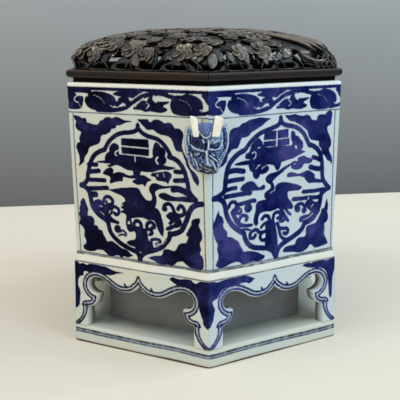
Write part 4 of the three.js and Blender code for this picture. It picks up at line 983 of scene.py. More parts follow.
def build_apron(side, material, corner_round):
    """An arched apron panel: a face that follows the arch, with a softened edge and a plain back."""
    right = arch_outline()
    arch = np.array(right + [(-u, z) for u, z in right[-2::-1]])
    arch[:, 1] += PLINTH_TOP / MM
    outline, inner = apron_points(arch)
    points = [Vector(p) for p in (*outline, *inner)]
    flat, _, faces, *_ = delaunay_2d_cdt(points, [], [list(range(len(outline)))], 1, 1e-4)
    place = np.array([tuple(p) for p in flat])
    arch_distance = polyline_distance(place, arch)
    height = place[:, 1] * MM
    along, outward = round_corners(place[:, 0] / HALF_APRON, stand_apothem(height), corner_round)
    fall = np.clip(EDGE_SOFTNESS - arch_distance, 0, EDGE_SOFTNESS)
    outward = outward - (EDGE_SOFTNESS - np.sqrt(EDGE_SOFTNESS**2 - fall**2)) * MM
    out_axis, along_axis = side_axes(side)
    front = outward[:, None] * out_axis + along[:, None] * along_axis
    front[:, 2] = height
    bm = bmesh.new()
    verts = [bm.verts.new(p) for p in front]
    for face in faces:
        bm.faces.new([verts[i] for i in face])
    paint = Brushwork(place[:, 0], place[:, 1])
    paint_apron(paint, arch_distance, CORNER_WASHES[side % 2])
    paint.store(bm)
    layer = bm.verts.layers.float_vector["brushwork"]
    back = bmesh.ops.extrude_face_region(bm, geom=bm.faces[:])["geom"]
    low_corner, high_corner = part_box("apron_panel_2")
    thickness = high_corner.x - low_corner.x - 0.9 * MM
    out_axis, along_axis = Vector(out_axis), Vector(along_axis)
    for vert in back:
        if isinstance(vert, bmesh.types.BMVert):
            reach, across = vert.co.dot(out_axis), vert.co.dot(along_axis)
            if abs(across) > APRON_MITRE:
                across *= (reach - thickness) / reach
            vert.co = out_axis * (reach - thickness) + along_axis * across + Vector((0, 0, vert.co.z))
            vert[layer] = (FAR, FAR, FAR)
    bmesh.ops.recalc_face_normals(bm, faces=bm.faces)
    finish_piece(bm, f"painted_apron_{side}", material, "vessel", f"apron_panel_{side}")


def banded_porcelain(name, lines, foot=None, tints=GLAZE_TINTS):
    """Glazed porcelain with thin painted lines at set heights, drawn by hand and so never quite level. Level
    faces stay clean, so that a line at the floor's height doesn't run over it. The foot is bare and brown."""
    material, tree = new_material(name)
    shift = calculate(tree, "SUBTRACT", object_noise(tree, 22.0, detail=1.0), 0.5)
    level = calculate(tree, "MULTIPLY_ADD", shift, 2.2 * MM, along_axis(tree))
    colour = glaze_base(tree, tints)
    heap = object_noise(tree, 300.0)
    facing = add(tree, "ShaderNodeNewGeometry").outputs["True Normal"]
    upward = add(tree, "ShaderNodeSeparateXYZ", {"Vector": facing}).outputs["Z"]
    steep = fade(tree, upward, 0.99, 0.96)
    broken = calculate(tree, "MULTIPLY", fade(tree, heap, 0.2, 0.6, 1.0, 0.45), steep)
    for centre, width, code in lines:
        gap = calculate(tree, "ABSOLUTE", calculate(tree, "SUBTRACT", level, centre * MM))
        mask = fade(tree, gap, width * 0.85 * MM, width * 0.35 * MM, 0.92, interpolation="SMOOTHSTEP")
        colour = blend(tree, calculate(tree, "MULTIPLY", mask, broken), colour, code)
    rough = 0.16
    if foot:
        bare = fade(tree, level, (foot + 0.3) * MM, (foot - 0.3) * MM)
        colour = blend(tree, bare, colour, ramp(tree, heap, [(0.3, "#3c2f24"), (0.7, "#6e5843")]))
        rough = fade(tree, bare, 0.0, 1.0, 0.8, rough)
    inputs = {"Base Color": colour, **GLAZE_GLOSS, "Roughness": rough}
    close_shader(tree, inputs, object_noise(tree, 260.0, detail=1.0), 0.08)
    return material


# Painted lines, from the lowest layer of paint up: the height of the middle, the width and the colour.
PLINTH_LINES = ((6.1, 1.9, "#9aa8b8"), (6.8, 1.0, "#161e34"), (5.4, 0.8, "#35445f"))
SHOULDER_LINES = ((SHOULDER_TOP / MM - 0.3, 0.9, "#39404f"), (STAND_TOP / MM + 0.5, 0.6, "#5c6a7a"))


def build_plinth(corner_round):
    """The plinth ring: bare foot edge, a face with two painted lines, and a rounded upper edge."""
    soft, recess, square = 1.4 * MM, 1.5 * MM, 0.5 * MM
    profile = [(FOOT_APOTHEM - 0.5 * MM, 0.0, corner_round)]
    profile += [(FOOT_APOTHEM - 0.1 * MM, 0.5 * MM, corner_round)]
    for height in (2 * MM, 4 * MM, 6 * MM, PLINTH_TOP - soft):
        profile.append((stand_apothem(height), height, corner_round))
    profile += arc(stand_apothem(PLINTH_TOP) - soft, PLINTH_TOP - soft, soft, (22, 45, 68, 90), corner_round)
    core, inner_foot = CORE_APOTHEM - 5 * MM, FOOT_APOTHEM - 6 * MM
    profile += [(core, PLINTH_TOP, square), (core, recess, square)]
    profile += [(inner_foot, recess, square), (inner_foot, 0.0, square)]
    material = banded_porcelain("lined_plinth_glaze", PLINTH_LINES, foot=0.9)
    bm = hexagon_ring(profile)
    finish_piece(bm, "painted_plinth", material, "vessel", "plinth_ring")


def build_shoulder(corner_round):
    """The floor slab with the sloping white shoulder round its edge."""
    edge, core = 0.4 * MM, 30 * MM
    profile = [
        (SHOULDER_APOTHEM + 0.03 * MM, STAND_TOP, corner_round),
        (SHOULDER_APOTHEM, SHOULDER_EDGE_TOP - edge, corner_round),
        (SHOULDER_APOTHEM - 0.3 * MM, SHOULDER_EDGE_TOP + edge, corner_round),
        (WALL_FOOT_APOTHEM + 0.3 * MM, SHOULDER_TOP - 0.5 * MM, corner_round),
        (WALL_FOOT_APOTHEM, SHOULDER_TOP, corner_round),
        (core, SHOULDER_TOP, 0.0),
        (core, STAND_TOP, 0.0),
    ]
    bm = hexagon_ring(profile)
    inside = [f for f in bm.faces if all(math.hypot(v.co.x, v.co.y) < 36 * MM for v in f.verts)]
    bmesh.ops.delete(bm, geom=inside, context="FACES")
    close_holes(bm)
    # The shoulder's glaze tints are lighter than the walls', a painted highlight on the shoulder lit from
    # above.
    material = banded_porcelain("white_shoulder_glaze_painted_light", SHOULDER_LINES, tints=("#dadfdc", "#e0ded2"))
    finish_piece(bm, "white_shoulder", material, "vessel", "chamber_floor")


MASK_MIDDLE = np.array((-0.6, 109.2))
MASK_OUTLINE = [
    (-9.7, 118.9), (-10.7, 117.2), (-11, 113.6), (-11, 110), (-10.6, 107), (-9.7, 104.2), (-8.6, 101.6),
        (-7.2, 99.4), (-5.4, 97.9), (-1, 97.1), (3.4, 97), (5.4, 99.4), (6.8, 102.6), (8.2, 105.6),
        (9.4, 108.4), (10, 111.4), (9.8, 114.4), (9.3, 117.4), (8.4, 120), (6.6, 118.4), (3.6, 119.6),
        (1.4, 120.8), (-1.4, 120.9), (-4, 120.6), (-6, 118.6), (-8.2, 118),
]
# Swellings: the middle, the half width and height, and how far the foot and the crown stand out.
MASK_SWELLINGS = (
    (-8.2, 110.6, 3.3, 8.8, 0.7, 1.7),
    (7.3, 111, 3.1, 9, 0.7, 1.7),
    (-0.6, 109.4, 8.4, 11.4, 1.2, 3.0),
    (-1.6, 118.4, 4.2, 4.4, 2.4, 1.6),
    (-4.8, 112.6, 4.2, 3.6, 3.2, 2.4),
    (3, 112, 3.2, 3.8, 3.2, 2.2),
    (-0.6, 100.3, 5.6, 3.6, 2.6, 3.6),
    (-0.4, 102, 2.4, 1.7, 6.4, 1.6),
    (2.4, 100.6, 2.2, 1.6, 4.8, 1.4),
    (-5.6, 106.4, 1.8, 1.1, 2.6, 1.9),
    (4.2, 106.6, 1.5, 1.6, 2.6, 1.9),
)
# Ridges and hollows: the rise, the half width and the line.
MASK_RIDGES = (
    (1.3, 0.45, [(-4.6, 116.9), (-3.2, 115.6), (-2.1, 114.7), (-0.7, 114.6), (0.3, 115.1), (1, 116.7)]),
    (1.1, 0.5, [(-9.4, 113.4), (-8.4, 110.9), (-6.4, 109.2), (-4.2, 108.6), (-2.4, 108.3)]),
    (1.0, 0.5, [(0.5, 109.2), (2.6, 108.9), (4.6, 109), (5.8, 110.2), (6.4, 112.6)]),
    (1.2, 0.45, [(0, 113.4), (-0.1, 111.4), (-0.3, 109.4)]),
    (1.4, 0.6, [(-1.1, 108.2), (-0.9, 105.4), (-0.6, 103.4)]),
    (1.0, 0.4, [(0.6, 106.2), (2.6, 104.6), (4.3, 102.6), (4.8, 100.4)]),
    (0.9, 0.35, [(2.3, 106.4), (4.6, 104.4), (5.8, 102)]),
    (0.9, 0.35, [(0.5, 104.3), (2.1, 102.6), (3.1, 100.4)]),
    (0.9, 0.4, [(-7.9, 106), (-7.2, 103.4), (-6.5, 101)]),
    (0.9, 0.4, [(-6.4, 104), (-5.4, 101.6), (-4.6, 99.4)]),
    (1.3, 0.5, [(-9.8, 118.2), (-10.5, 115), (-10.4, 111), (-9.6, 106.8)]),
    (1.3, 0.5, [(8.3, 118.8), (9.3, 115), (9.3, 111), (8.4, 107.4)]),
    (0.7, 0.3, [(0.8, 112.4), (1.2, 113.4), (2, 113.5), (2.6, 112.6), (3.8, 112.6)]),
    (0.7, 0.3, [(-2.9, 113.6), (-2.6, 112.6), (-1.8, 112.3), (-1.2, 113)]),
    (0.7, 0.3, [(-4.4, 101.8), (-3.4, 101.6), (-3.2, 100.4), (-4.2, 100)]),
    (0.7, 0.3, [(-2.2, 100.8), (-1, 100.6), (0.4, 99.9), (0, 99), (-1.4, 99.2)]),
    (0.6, 0.3, [(-6.4, 103.2), (-5.4, 102.6), (-5.6, 101.4)]),
)
MASK_HOLLOWS = (
    (1.2, 0.5, [(-3.6, 99), (-0.6, 98.5), (2.6, 99)]),
    (1.0, 0.45, [(-7.6, 107.6), (-5.6, 105), (-3.4, 106.6)]),
    (1.0, 0.45, [(2, 108), (4.2, 104.6), (6.2, 107)]),
    (0.9, 0.4, [(-8, 117), (-8.4, 113), (-8.2, 108)]),
    (0.9, 0.4, [(7, 117), (7.5, 112), (7, 107.4)]),
    (1.1, 0.5, [(-1.5, 113.6), (-1.4, 111), (-1.6, 108.8)]),
)
MUZZLE = [(-4.6, 99.6), (-4, 101.8), (-2.6, 102.6), (0.4, 102.2), (1.8, 101.4), (3, 99.8), (3.6, 97.6),
    (1, 98), (-2, 97.4), (-4.4, 98)]
# Paint on the mask, and the lines kept free of it.
MASK_FILLS = (
    ("line", [(-5, 121), (-5, 117.4), (-2.8, 115), (0.4, 115), (1.6, 117.4), (1.6, 121)]),
    ("ink", [(-8.9, 113.6), (-7.4, 115.2), (-5, 115.6), (-3.6, 116), (-2.6, 114.4), (-3.2, 112.6),
        (-0.8, 112.2), (-0.4, 110), (-1.6, 109), (-5, 109.5), (-7.6, 110.4), (-8.9, 112)]),
    ("ink", [(0.6, 111.9), (2.4, 111.6), (4.9, 112.6), (5.2, 110.4), (4.6, 109.4), (1.4, 109.5),
        (0.5, 110.4)]),
    ("ink", [(1.6, 115.6), (3, 116), (4, 115.2), (2.8, 114.6)]),
    ("ink", [(-10.9, 114.4), (-10.2, 116.6), (-9.6, 114.4), (-9.8, 111.2), (-10.6, 110.8)]),
    ("ink", [(-7, 108.2), (-4.4, 107.7), (-2.8, 108.4), (-1.7, 108.9), (-1.6, 105.6), (-2.8, 104.6),
        (-4, 105.8), (-7.4, 105.2), (-8.2, 106.6)]),
    ("wash", [(-9.4, 110.6), (-7.6, 108.8), (-8.4, 105), (-7.8, 100.6), (-5.6, 98.6), (-3.6, 101),
        (-2.2, 104.4), (-4, 105.4), (-9, 105.4), (-9.8, 108)]),
    ("wash", [(0.2, 108.6), (3, 109), (5.6, 108.4), (6, 104.6), (5, 101.4), (3.2, 101.8), (1.2, 104),
        (0.2, 106.4)]),
    ("wash", [(4.6, 116.4), (6.6, 117.6), (7.4, 113), (7.2, 108), (8.4, 109), (8.8, 113), (8.2, 117.6),
        (6, 119)]),
    ("ink", [(-5, 98.6), (-2, 98), (1.6, 98.6), (4.2, 97.9), (4.2, 97), (-1, 96.8), (-5, 97.4)]),
)
MASK_STROKES = (
    (0.8, [(0.4, 107.6), (1.6, 106), (3, 104.8), (4.6, 104)]),
    (0.6, [(2, 103.4), (3.4, 101.6), (4, 100)]),
    (0.7, [(-7, 104.4), (-5.6, 103.6), (-4.8, 102.4), (-5.4, 100.8)]),
    (0.6, [(-3.8, 104), (-3.4, 102.6), (-4.2, 101.2)]),
    (0.5, [(7, 117.2), (7, 113), (7.3, 109.6)]),
    (0.5, [(-9.6, 109.4), (-8.8, 106.4), (-8, 103)]),
)
# The white kept across the nose tip and the small white spot in the right eye are painted highlights.
MASK_RESERVES = (
    (1.0, [(-6.4, 106.1), (-5.4, 106.5), (-4.7, 106.6)]),
    (0.6, [(4.6, 107.4), (4.6, 106.4)]),
    (0.9, [(-9.8, 118), (-10.4, 115), (-10.3, 111), (-9.4, 106.8)]),
    (0.9, [(8.3, 118.6), (9.2, 115), (9.2, 111), (8.4, 107.6)]),
    (0.7, [(2.4, 107), (2.5, 106)]),
    (0.9, [(-4.2, 116.9), (-3, 115.6), (-2.1, 114.8), (-0.7, 114.6), (0.3, 115), (0.7, 116.2)]),
    (0.5, [(-2.9, 113.6), (-2.6, 112.6), (-1.8, 112.3), (-1.2, 113)]),
    (0.5, [(0.8, 112.4), (1.2, 113.4), (2, 113.5), (2.6, 112.6), (3.8, 112.6)]),
    (0.6, [(-0.1, 113), (-0.2, 109.6)]),
    (1.1, [(-1.1, 106.6), (-0.8, 105), (-0.7, 103.4)]),
    (0.8, [(-1.8, 102.4), (-0.6, 102.6), (0.6, 102.1), (1.6, 101.5), (2.6, 100.8)]),
    (0.7, [(-9.3, 114.6), (-9.2, 112.4), (-8.4, 110.4), (-6.6, 109), (-4, 108.6), (-2.8, 108.8)]),
    (0.8, [(5.9, 109), (5.6, 111.6), (5.8, 114)]),
    (0.7, [(0.9, 105.6), (2.2, 104), (4, 102.8), (4.8, 101)]),
    (0.4, [(-6.2, 102.8), (-5.4, 101.6), (-5.8, 100.4)]),
    (0.4, [(-3.2, 104), (-2.9, 103), (-3.4, 101.8)]),
)


def mask_relief(places):
    """How far the mask stands out over the corner at each place, in millimetres."""
    relief = np.full(len(places), 0.7)
    for across, height, half_width, half_height, base, swell in MASK_SWELLINGS:
        spread = ((places - (across, height)) / (half_width, half_height)) ** 2
        inward = np.clip(1 - spread.sum(1), 0, 1)
        relief = np.maximum(relief, base * np.minimum(1, 1.8 * inward) + swell * inward**0.7)
    return relief + mask_lines(places)


def mask_lines(places):
    """The ridges and hollows that lie over the mask's swellings."""
    relief = np.zeros(len(places))
    for sign, lines in ((1, MASK_RIDGES), (-1, MASK_HOLLOWS)):
        for rise, width, points in lines:
            gap = polyline_distance(places, smoothed(points))
            relief += sign * rise * 0.8 * np.exp(-((gap / width) ** 2))
    return relief


def paint_mask(paint):
    """Cobalt on the mask: heavy brows, blue cheeks, a violet forehead and white ridges."""
    for layer, outline in MASK_FILLS:
        paint.fill(outline, layer=layer)
    for width, points in MASK_STROKES:
        paint.stroke(points, width)
    for width, points in MASK_RESERVES:
        for layer in paint.layers:
            paint.stroke(points, width, layer=layer, reserve=True)


MASK_FRONT_ROWS, MASK_BACK_ROWS = 30, 4
MASK_COLUMNS = 96
MASK_RIM = 0.93
# How far round a place its neighbours are looked at, to tell ridges from hollows.
NEIGHBOUR_REACH = 0.55


def build_mask(place, material):
    """A beast mask: a relief over the corner with a thinner rim and a closed back."""
    outline = smoothed(MASK_OUTLINE, closed=True) - MASK_MIDDLE
    bearings = np.arctan2(outline[:, 1], outline[:, 0])
    order = np.argsort(bearings)
    rows = MASK_FRONT_ROWS + 1 + MASK_BACK_ROWS
    bm = bmesh.new()
    bmesh.ops.create_grid(bm, x_segments=MASK_COLUMNS, y_segments=rows, size=1)
    grid = np.array([v.co for v in bm.verts])
    row = np.rint((grid[:, 1] + 1) / 2 * rows)
    in_front = row <= MASK_FRONT_ROWS
    bearing = grid[:, 0] * math.pi
    reach = np.interp(bearing, bearings[order], np.hypot(*outline[order].T), period=2 * math.pi)
    share = np.where(in_front, row / MASK_FRONT_ROWS, (rows - row) / MASK_BACK_ROWS)
    flat = MASK_MIDDLE + np.column_stack((np.cos(bearing), np.sin(bearing))) * (share * reach)[:, None]
    edge = np.sqrt(np.clip(1 - np.clip(share - MASK_RIM, 0, 1) ** 2 / (1 - MASK_RIM) ** 2, 0, 1))
    relief = np.where(in_front, 0.15 + (mask_relief(flat) - 0.15) * (0.35 + 0.65 * edge), 0.05)
    across = np.sqrt(flat[:, 0] ** 2 + 1) - 0.55
    corner = wall_apothem(flat[:, 1] * MM) / MM * 2 / math.sqrt(3)
    depth = np.maximum(TAN_HALF_SIDE * across - corner - relief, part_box("front_mask")[0].y / MM)
    turn = 1 if place == "front" else -1
    for vert, point in zip(bm.verts, np.column_stack((turn * flat[:, 0], turn * depth, flat[:, 1])) * MM):
        vert.co = point
    paint = Brushwork(flat[:, 0], flat[:, 1])
    paint_mask(paint)
    paint.store(bm)
    muzzle = Brushwork(flat[:, 0], flat[:, 1])
    muzzle.fill(MUZZLE)
    steps = np.array(((1, 0), (-1, 0), (0, 1), (0, -1))) * NEIGHBOUR_REACH
    around = sum(mask_lines(flat + step) for step in steps) / len(steps)
    swell = np.where(in_front, mask_lines(flat) - around, 0)
    store_vectors(bm, "modelling", np.column_stack((swell, muzzle.layers["ink"], swell * 0)))
    bmesh.ops.remove_doubles(bm, verts=bm.verts, dist=1e-6)
    bmesh.ops.recalc_face_normals(bm, faces=bm.faces)
    finish_piece(bm, f"{place}_beast_mask", material, "vessel", f"{place}_mask")


# Each horn's middle and width, across the corner, at its root and at its tip, in millimetres.
HORN_SHAPES = {"left": ((-5.8, 2.7), (-7, 3.2)), "right": ((3.1, 3.6), (5, 4))}
HORN_PEG = 2.4 * MM
HORN_SLANT = 0.42


def build_horn(place, hand, material):
    """A horn: a rounded slab that widens upwards and leans away from the middle, cut aslant at its tip."""
    node = f"{place}_mask_{hand}_horn"
    low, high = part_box(node)
    turn = 1 if place == "front" else -1
    low.z += HORN_PEG
    size = high - low
    (root, root_width), (tip, tip_width) = HORN_SHAPES[hand]
    bm = bmesh.new()
    bmesh.ops.create_cube(bm, size=1)
    upright = [e for e in bm.edges if abs(e.verts[0].co.z - e.verts[1].co.z) > 0.5]
    bmesh.ops.subdivide_edges(bm, edges=upright, cuts=8)
    for vert in bm.verts:
        vert.co = Vector((vert.co.x * root_width * MM, vert.co.y * size.y * 0.98, vert.co.z * size.z * 0.98))
    sharp = [e for e in bm.edges if e.calc_face_angle(0) > 0.5]
    bmesh.ops.bevel(bm, geom=sharp, offset=0.75 * MM, segments=4, profile=0.5, affect="EDGES")
    for vert in bm.verts:
        share = vert.co.z / size.z + 0.5
        across = vert.co.x * (1 + share * (tip_width / root_width - 1))
        vert.co.z -= max(0, share - 0.7) / 0.3 * (across + root_width * MM / 2) * HORN_SLANT
        vert.co.x = turn * (across + (root + (tip - root) * share) * MM)
        vert.co.y += (low.y + high.y) / 2
        vert.co.z += (low.z + high.z) / 2
    bmesh.ops.recalc_face_normals(bm, faces=bm.faces)
    finish_piece(bm, f"cream_{node}", material, "vessel", node)


def mask_glaze():
    """Modelled porcelain brushed with cobalt, which leaves ridges white. The hollows are painted darker,
    partly cobalt that gathers there and partly painted shade. The curls of the hide are a mottling."""
    material, tree = new_material("cobalt_washed_relief")
    layers, forms = stored(tree, "brushwork"), stored(tree, "modelling")
    streaks = object_noise(tree, 700.0, detail=4.0, roughness=0.6)
    wobble = calculate(tree, "SUBTRACT", streaks, 0.5)
    colour = ramp(tree, streaks, [(0.35, "#5f7cae"), (0.65, "#aabfd8")])
    brow = ramp(tree, streaks, [(0.4, "#050820"), (0.6, "#2a356a"), (0.74, "#7486b8")])
    for layer, soft, most, tone in (
        (layers["Z"], 0.4, 0.9, "#6f83bb"),
        (layers["Y"], 0.5, 0.85, ramp(tree, streaks, [(0.4, "#1c3470"), (0.65, "#5878b4")])),
        (layers["X"], 0.4, 0.95, brow),
        (forms["Y"], 0.5, 0.9, ramp(tree, streaks, [(0.4, "#10120c"), (0.66, "#5c594e")])),
    ):
        share = painted_share(tree, wobble, layer, soft, 1.6, most=most)
        colour = blend(tree, share, colour, tone)
    curls = object_noise(tree, 1500.0, detail=1.0)
    colour = blend(tree, fade(tree, curls, 0.52, 0.62, 0.7), colour, "#17234e")
    # Hollows painted darker: partly cobalt gathered there, partly painted shade.
    colour = blend(tree, fade(tree, forms["X"], -0.02, -0.2, 0.85), colour, "#0c1434")
    colour = blend(tree, fade(tree, forms["X"], 0.08, 0.32, 0.8), colour, "#dce8f0")
    close_shader(tree, {"Base Color": colour, **GLAZE_GLOSS}, streaks, 0.25, 0.3 * MM)
    return material


DOME_SHOULDER = 3 * MM
# Each ring of openings in the dome: its share of the way up, and how many there are.
VOID_RINGS = ((0.21, 30), (0.45, 24), (0.62, 18), (0.77, 12), (0.9, 6))
VOID_LENGTH = 12.4 * MM
VOID_WIDTH = 7.2 * MM
VOID_TILT = 0.6
CROWN_VOID_RADIUS = 5.6 * MM
SLOT_FOOT = 0.9 * MM
SLOT_HEIGHT = 3.2 * MM
SLOT_COUNT = 30


def dome_points(share, bearing, inset=0.0):
    """Places on the dome's outside, or on a skin inside it, with share 0 at its base and 1 at the crown."""
    share, bearing = np.asarray(share, float), np.asarray(bearing, float)
    turn = share * math.pi / 2
    apothem = (DOME_APOTHEM - inset) * np.maximum(np.cos(turn), 1e-6) ** 0.81
    rise = (DOME_TOP - RAIL_TOP - inset - DOME_SHOULDER) * np.sin(turn) ** 0.84
    rise = rise + DOME_SHOULDER * np.minimum(1, share * 3.2)
    sharp = 48 + (10 - 48) * np.minimum(1, share * 1.54)
    total = sum(np.abs(np.cos(bearing + math.pi / 3 - side * math.pi / 3)) ** sharp for side in range(3))
    radius = apothem * total ** (-1 / sharp)
    return np.stack((radius * np.cos(bearing), radius * np.sin(bearing), RAIL_TOP + rise), axis=-1)


def dome_place(share, bearing, inset=0.0):
    return Vector(dome_points(share, bearing, inset))


def dome_frame(share, bearing, sink=0.0):
    """A matrix that stands on the dome at a place: Z points out of it, and X runs round it."""
    step = 0.012
    point = dome_place(share, bearing)
    around = (dome_place(share, bearing + step) - dome_place(share, bearing - step)).normalized()
    above, below = dome_place(min(share + step, 0.999), bearing), dome_place(max(share - step, 0), bearing)
    normal = around.cross((above - below).normalized()).normalized()
    matrix = Matrix((around, normal.cross(around), normal)).transposed().to_4x4()
    return Matrix.Translation(point - normal * sink) @ matrix


def turned(angle, axis="Z"):
    return Matrix.Rotation(angle, 4, axis)


def petal(bm, matrix, radii, thickness=1.4 * MM, dish=0.5 * MM):
    """A dished petal: its rim is level with the place it stands on, and its middle is sunk."""
    rim = 0.35 * MM
    for vert in bmesh.ops.create_uvsphere(bm, u_segments=12, v_segments=6, radius=1)["verts"]:
        reach = math.hypot(vert.co.x, vert.co.y)
        if vert.co.z > 0.01:
            depth = dish * (1 - reach**4 * 1.6) if reach < 0.8 else 0
        else:
            depth = rim + (thickness - rim) * (1 - reach) * 2
        vert.co = matrix @ Vector((vert.co.x * radii[0], vert.co.y * radii[1], -depth))


def blossom_mesh(count):
    """A blossom of round petals that overlap like a pinwheel about a beaded boss."""
    bm = bmesh.new()
    for i in range(count):
        stand = turned(2 * math.pi * i / count) @ Matrix.Translation((3.5 * MM, 0, -0.15 * MM))
        petal(bm, stand @ turned(math.radians(9), "X"), (2.75 * MM, 2.6 * MM))
    petal(bm, Matrix.Translation((0, 0, 0.1 * MM)), (1.5 * MM, 1.5 * MM), dish=0.3 * MM)
    boss = Matrix.Translation((0, 0, -0.1 * MM)) @ Matrix.Diagonal((0.7 * MM, 0.7 * MM, 0.5 * MM, 1))
    bmesh.ops.create_uvsphere(bm, matrix=boss, u_segments=8, v_segments=4, radius=1)
    return mesh_from(bm, "blossom")


def leaf_mesh():
    """A pointed oval leaf with a raised edge, a sunk blade and a midrib."""
    bm = bmesh.new()
    half_length, half_width, midrib = 5 * MM, 2.9 * MM, 0.12
    for vert in bmesh.ops.create_uvsphere(bm, u_segments=14, v_segments=6, radius=1)["verts"]:
        reach = math.hypot(vert.co.x, vert.co.y)
        width = half_width * (1 - 0.45 * abs(vert.co.x) ** 2.5)
        if vert.co.z > 0:
            depth = 0.55 * MM * (1 - reach**3) if abs(vert.co.y) > midrib else 0.1 * MM
        else:
            depth = 0.4 * MM + 0.9 * MM * (1 - reach)
        vert.co = Vector((vert.co.x * half_length, vert.co.y * width, -depth - 0.4 * MM * vert.co.x**2))
    return mesh_from(bm, "leaf")


def put(bm, mesh, *matrices):
    """Adds a copy of a mesh at a place."""
    copy = mesh.copy()
    place = matrices[0]
    for matrix in matrices[1:]:
        place = place @ matrix
    copy.transform(place)
    bm.from_mesh(copy)
    bpy.data.meshes.remove(copy)


def stem(bm, points, radius):
    """A round stem along points: a ball whose latitudes are drawn out along the line."""
    ball = bmesh.new()
    bmesh.ops.create_uvsphere(ball, u_segments=6, v_segments=2 * len(points) - 1, radius=1)
    for vert in ball.verts:
        place = math.acos(max(-1, min(1, -vert.co.z))) / math.pi * (len(points) - 1)
        step = min(int(place), len(points) - 2)
        ahead = points[step + 1] - points[step]
        turn = ahead.to_track_quat("Z", "Y")
        reach = math.hypot(vert.co.x, vert.co.y)
        spread = Vector((vert.co.x, vert.co.y, 0)) / max(reach, 1e-6)
        vert.co = points[step] + ahead * (place - step) + turn @ spread * (radius * min(1, reach * 1.6))
    pour(bm, ball)


def scatter_on_dome(spacing, seed, low, high, tries=6000):
    """Places spread over the dome no closer than the spacing, as pairs of share and bearing."""
    chance = random.Random(seed)
    kept, points = [], []
    for _ in range(tries):
        share = low + (high - low) * chance.random() ** 0.8
        bearing = chance.uniform(0, 2 * math.pi)
        point = dome_place(share, bearing)
        if all((point - other).length > spacing for other in points):
            kept.append((share, bearing))
            points.append(point)
    return kept


def in_a_void(bearing, points):
    """Whether places on the web lie in a leaf-shaped void, in the crown void or in a slot over the rails."""
    height = points[:, 2] - RAIL_TOP
    opened = np.hypot(points[:, 0], points[:, 1]) < CROWN_VOID_RADIUS
    post = np.abs((bearing / (2 * math.pi) * SLOT_COUNT) % 1) < 0.12
    opened |= (height > SLOT_FOOT) & (height < SLOT_FOOT + SLOT_HEIGHT) & ~post
    for ring, (level, count) in enumerate(VOID_RINGS):
        for i in range(count):
            centre = (i + 0.5 * (ring % 2)) / count * 2 * math.pi
            stand = dome_frame(level, centre).inverted()
            near = np.linalg.norm(points - np.array(dome_place(level, centre)), axis=1) < VOID_LENGTH
            local = points[near] @ np.array(stand.to_3x3()).T + np.array(stand.translation)
            tilt = VOID_TILT if i % 2 else -VOID_TILT
            along = np.abs(local[:, 0] * math.cos(tilt) + local[:, 1] * math.sin(tilt))
            across = np.abs(local[:, 1] * math.cos(tilt) - local[:, 0] * math.sin(tilt)) / (VOID_WIDTH / 2)
            opened[near] |= (across < 1) & (along < VOID_LENGTH / 2 * (1 - 0.6 * across))
    return opened


WEB_SINK = 2.2 * MM
WEB_THICKNESS = 1.8 * MM
WEB_COLUMNS, WEB_ROWS = 240, 40
# Short of the crown, so that no row of the web or of a scatter closes to a point.
NEAR_CROWN = 0.985


def build_web(bm):
    """The pierced web that carries the carving, a little under the dome's surface."""
    web = bmesh.new()
    bmesh.ops.create_grid(web, x_segments=WEB_COLUMNS, y_segments=WEB_ROWS, size=1)
    grid = np.array([v.co for v in web.verts])
    bearing = (grid[:, 0] + 1) * math.pi
    points = dome_points(((grid[:, 1] + 1) / 2) * NEAR_CROWN, bearing, WEB_SINK)
    for vert, point, gone in zip(web.verts, points, in_a_void(bearing, points)):
        vert.co = point
        vert.tag = bool(gone)
    opened = [f for f in web.faces if sum(v.tag for v in f.verts) > 2]
    bmesh.ops.delete(web, geom=opened, context="FACES")
    bmesh.ops.remove_doubles(web, verts=web.verts, dist=1e-6)
    edge = [v for v in web.verts if v.is_boundary and v.co.z > RAIL_TOP + MM]
    for _ in range(2):
        bmesh.ops.smooth_vert(web, verts=edge, factor=0.5, use_axis_x=True, use_axis_y=True, use_axis_z=True)
    bmesh.ops.recalc_face_normals(web, faces=web.faces)
    bmesh.ops.solidify(web, geom=web.faces[:], thickness=WEB_THICKNESS)
    pour(bm, web)


def settle_on_dome(bm):
    """Presses down what stands too proud of the dome's surface, and keeps each vertex's depth under it."""
    proud, columns, rows = 0.35 * MM, 300, 70
    bearings = np.linspace(0, 2 * math.pi, columns, endpoint=False)
    surface = dome_points(*np.meshgrid(np.linspace(0, 0.995, rows), bearings))
    around = np.roll(surface, -1, axis=0) - np.roll(surface, 1, axis=0)
    normal = np.cross(around, np.gradient(surface, axis=1))
    normal /= np.linalg.norm(normal, axis=2, keepdims=True)
    surface, normal = surface.reshape(-1, 3), normal.reshape(-1, 3)
    tree = kdtree.KDTree(len(surface))
    for i, point in enumerate(surface):
        tree.insert(point, i)
    tree.balance()
    layer = bm.verts.layers.float.new("depth")
    for vert in bm.verts:
        _, i, _ = tree.find(vert.co)
        depth = float((surface[i] - np.array(vert.co)) @ normal[i])
        vert.co += Vector(normal[i]) * min(0, depth + proud)
        vert[layer] = depth


def build_frond(bm, corner):
    """A frond of long ribs that droops over a corner of the dome, with rows of small rings under it."""
    for rib in range(5):
        start, end = corner - 0.34 + 0.05 * rib, corner - 0.12 + 0.06 * rib
        line = []
        for i in range(11):
            t = i / 10
            share = 0.7 - 0.04 * rib - (0.5 - 0.05 * rib) * t**1.2
            line.append(dome_place(share, start + (end - start) * t**0.8, 1.1 * MM))
        stem(bm, line, 1.15 * MM)
    around = np.linspace(0, 2 * math.pi, 9)
    for row in range(2):
        for ring in range(7):
            bearing = corner - 0.16 + 0.042 * (ring + 0.5 * row)
            stand = dome_frame(0.045 + 0.075 * row, bearing, 1.3 * MM)
            circle = [stand @ Vector((1.25 * MM * math.cos(a), 1.5 * MM * math.sin(a), 0)) for a in around]
            stem(bm, circle, 0.55 * MM)


FROND_CORNERS = (math.radians(-30), math.radians(150))


